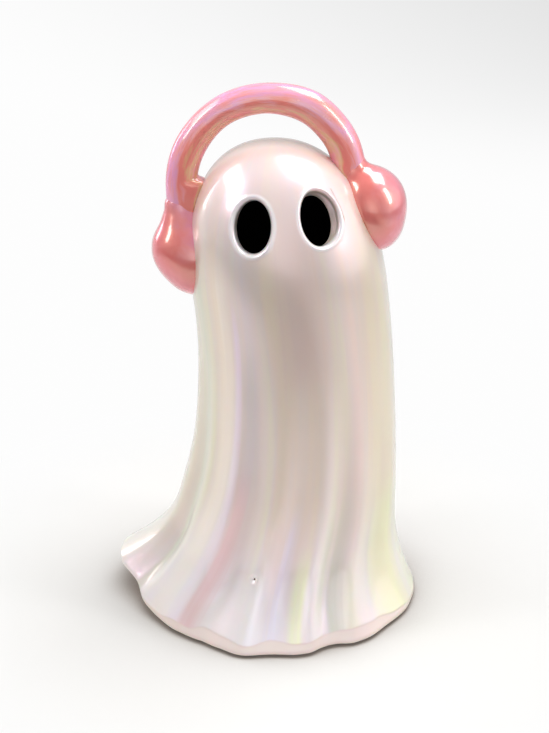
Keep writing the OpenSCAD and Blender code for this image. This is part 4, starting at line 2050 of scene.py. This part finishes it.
@dataclass
class Studio:
    """Camera, lamps, world and the white floor; it also sets the finished pieces in their place.

    The floor runs level to floor_back, bends up over floor_bend and goes on to floor_top.
    """

    ghost: GhostBody
    stance: tuple[float, float] = (2.748, -0.317)
    eye_level: float = 280.0
    back_off: float = 450.0
    pitch: float = 22.5
    focal_px: float = 1282.64
    frame_px: tuple[int, int] = (549, 733)
    lamps: tuple[Softbox, ...] = (
        Softbox("left_window", (-518, -149, 513), (0, 0, 150), (115, 290), 0.66),
        Softbox("left_softbox", (-446, 60, 573), (0, 0, 150), (380, 240), 0.75),
        Softbox("top_softbox", (250, 110, 724), (0, 0, 150), (420, 320), 2.6),
        Softbox("right_window", (571, -185, 480), (0, 0, 150), (120, 400), 1.2),
        Softbox("tail_window", (-649, 405, 354), (0, 0, 120), (150, 320), 0.62),
        Softbox("overhead", (-80, -130, 920), (0, 0, 100), (600, 600), 3.6, mirrored=False),
    )
    glows: tuple[Glow, ...] = (
        Glow((0.18, -1, 0.3), 2, 0.78, 0.0),
        Glow((-1, -0.5, 0.45), 2, 0.22, 0.0),
        Glow((0, 1, 0.2), 2, 0.30, 0.30),
        Glow((0, -1, 0.12), 10, 0.0, 1.3),
        Glow((-1, 0, 0.2), 5, 0.05, 0.40),
        Glow((1, 0, 0.2), 5, 0.0, 1.6),
    )
    room: float = 0.22
    seen_world: float = 0.96
    sensor_mm: float = 36.0
    floor_side: float = 3200.0
    floor_rows: tuple[float, ...] = (-3200.0, -1200.0, -300.0, 200.0)
    floor_back: float = 900.0
    floor_bend: float = 700.0
    floor_top: float = 2600.0
    floor_columns: int = 9

    def shift(self) -> np.ndarray:
        """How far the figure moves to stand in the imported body's place, with its foot on the bumpers.

        Returns:
            The way in millimetres.
        """
        low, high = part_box("ghost_body")
        middle = (low + high) / 2 / MM
        return np.array([middle.x + self.stance[0], middle.y + self.stance[1], low.z / MM])

    def set_down(self, piece: bpy.types.Object, shift: np.ndarray) -> None:
        """Moves a piece's mesh from the figure's own frame to its place."""
        piece.data.transform(Matrix.Translation(Vector(shift * MM)))
        piece.data.update()

    def camera(self, shift: np.ndarray) -> None:
        """Adds the camera at the photograph's angle.

        Args:
            shift: how far the figure was moved.
        """
        data = bpy.data.cameras.new("camera")
        data.sensor_width = self.sensor_mm
        data.sensor_fit = "AUTO"
        data.lens = self.sensor_mm * self.focal_px / max(self.frame_px)
        camera = linked("camera", data)
        place = Vector((shift[0], shift[1] - self.back_off, self.eye_level + shift[2])) * MM
        camera.matrix_world = Matrix.Translation(place) @ Matrix.Rotation(radians(90 - self.pitch), 4, "X")
        bpy.context.scene.camera = camera

    def floor(self) -> None:
        """Adds the white floor, which runs up into the backdrop in one sweep."""
        back, bend = self.floor_back, self.floor_bend
        line = [(y, 0.0) for y in (*self.floor_rows, back)]
        line += [(back + bend * sin(radians(k)), bend - bend * cos(radians(k))) for k in range(6, 91, 6)]
        line += [(back + bend, self.floor_top)]
        clay = Clay()
        across = np.linspace(-self.floor_side, self.floor_side, self.floor_columns)
        rows = [clay.add(np.array([(x, y, z) for x in across])) for y, z in line]
        for low, high in zip(rows, rows[1:]):
            for i in range(self.floor_columns - 1):
                clay.face((low[i], low[i + 1], high[i + 1], high[i]))
        clay.piece("white_floor", [WhiteFloor().material()])

    def world(self) -> None:
        """Lights the studio softly from the front and gives mirrored rays the bright parts of a room."""
        world = bpy.data.worlds.new("studio")
        bpy.context.scene.world = world
        bench = Bench(world, "ShaderNodeOutputWorld")
        across, ahead, rise = bench.axes(bench.wire("ShaderNodeTexCoord", None, None, "Generated"))
        seen, mirrored = bench.rays()
        strength = mirrored * self.room
        for glow in self.glows:
            x, y, z = Vector(glow.axis).normalized()
            lobe = bench.most(across * x + ahead * y + rise * z, 0.0) ** glow.tight
            strength = strength + lobe * ((1.0 - mirrored) * glow.matt + mirrored * glow.mirrored)
        strength = bench.most(strength, seen * self.seen_world)
        bench.finish(bench.node("ShaderNodeBackground", None, {"Strength": strength}))

    def open(self, shift: np.ndarray) -> None:
        """Sets up everything round the figure.

        Args:
            shift: how far the figure was moved.
        """
        self.camera(shift)
        self.floor()
        self.world()
        for lamp in self.lamps:
            lamp.hang()
        bpy.context.scene.view_settings.view_transform = "Standard"


@dataclass
class GhostFigure:
    """The whole figure: its sub-assemblies, their finishes and what they stand for."""

    ghost: GhostBody = field(default_factory=GhostBody)

    @staticmethod
    def ears(phone: PhoneFrame) -> list[EarPiece]:
        """The two ear pieces, each as its maker's hands left it.

        Args:
            phone: frame of the headphones.

        Returns:
            The left one and the right one.
        """
        left = EarPiece(
            phone, Side.LEFT, pad=Lump((32.0, 0, -1.3), (13.8, 14.6, 15.0)),
            cup=Lump((35.5, 0, 1.6), (11.9, 12.8, 12.8)),
            neck=Neck((33.5, 6.0, 12.0), (32.1, 17.5, 6.0), 1.2),
            lie=(-0.70, 0.75, -0.05))
        right = EarPiece(
            phone, Side.RIGHT, pad=Lump((34.2, 0, -0.8), (12.2, 14.6, 15.9)),
            cup=Lump((35.9, 0, 0.9), (11.4, 12.6, 12.6)),
            neck=Neck((30.6, 2.0, 6.2), (30.4, 20.0, 5.6), 3.4),
            lie=(-0.65, -0.30, 0.30))
        return [left, right]

    def place(self, piece: bpy.types.Object, slot: Slot, nodes: Sequence[str]) -> None:
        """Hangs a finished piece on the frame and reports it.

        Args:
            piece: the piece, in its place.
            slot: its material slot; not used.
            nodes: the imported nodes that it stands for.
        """
        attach(piece, "root")
        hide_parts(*nodes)
        LOG.info("%s: %d faces, stands for %s", piece.name, len(piece.data.polygons), ", ".join(nodes))

    def build(self, studio: Studio) -> None:
        """Builds all pieces in order and puts them in place.

        Args:
            studio: the studio in which the figure stands.
        """
        pearl, dark = PearlGlaze().material(), DarkInside().material()
        pink, milk = PinkLustre().material(), Silicone().material()
        shift = studio.shift()
        LOG.info("figure moved by %s mm", np.round(shift, 3))
        studio.open(shift)
        phone = PhoneFrame(self.ghost)
        jobs = [(self.ghost.build([pearl, dark, pearl]), Slot.PEARL, ["ghost_body"]),
                (Headband(phone).build(pink), Slot.PINK, ["headband"]),
                (Bumpers(self.ghost).build(milk), Slot.BUMPER, [
                    "front_left_bumper", "front_right_bumper", "rear_left_bumper", "rear_right_bumper"])]
        for ear in self.ears(phone):
            word = ear.side.name.lower()
            jobs.append((ear.build(pink), Slot.PINK, [f"{word}_ear_pad", f"{word}_ear_cup"]))
        for piece, slot, nodes in jobs:
            studio.set_down(piece, shift)
            self.place(piece, slot, nodes)


def main() -> None:
    """Builds the figure in its studio."""
    logging.basicConfig(level=logging.INFO, format="%(name)s: %(message)s")
    figure = GhostFigure()
    figure.build(Studio(figure.ghost))


if __name__ == "__main__":
    main()
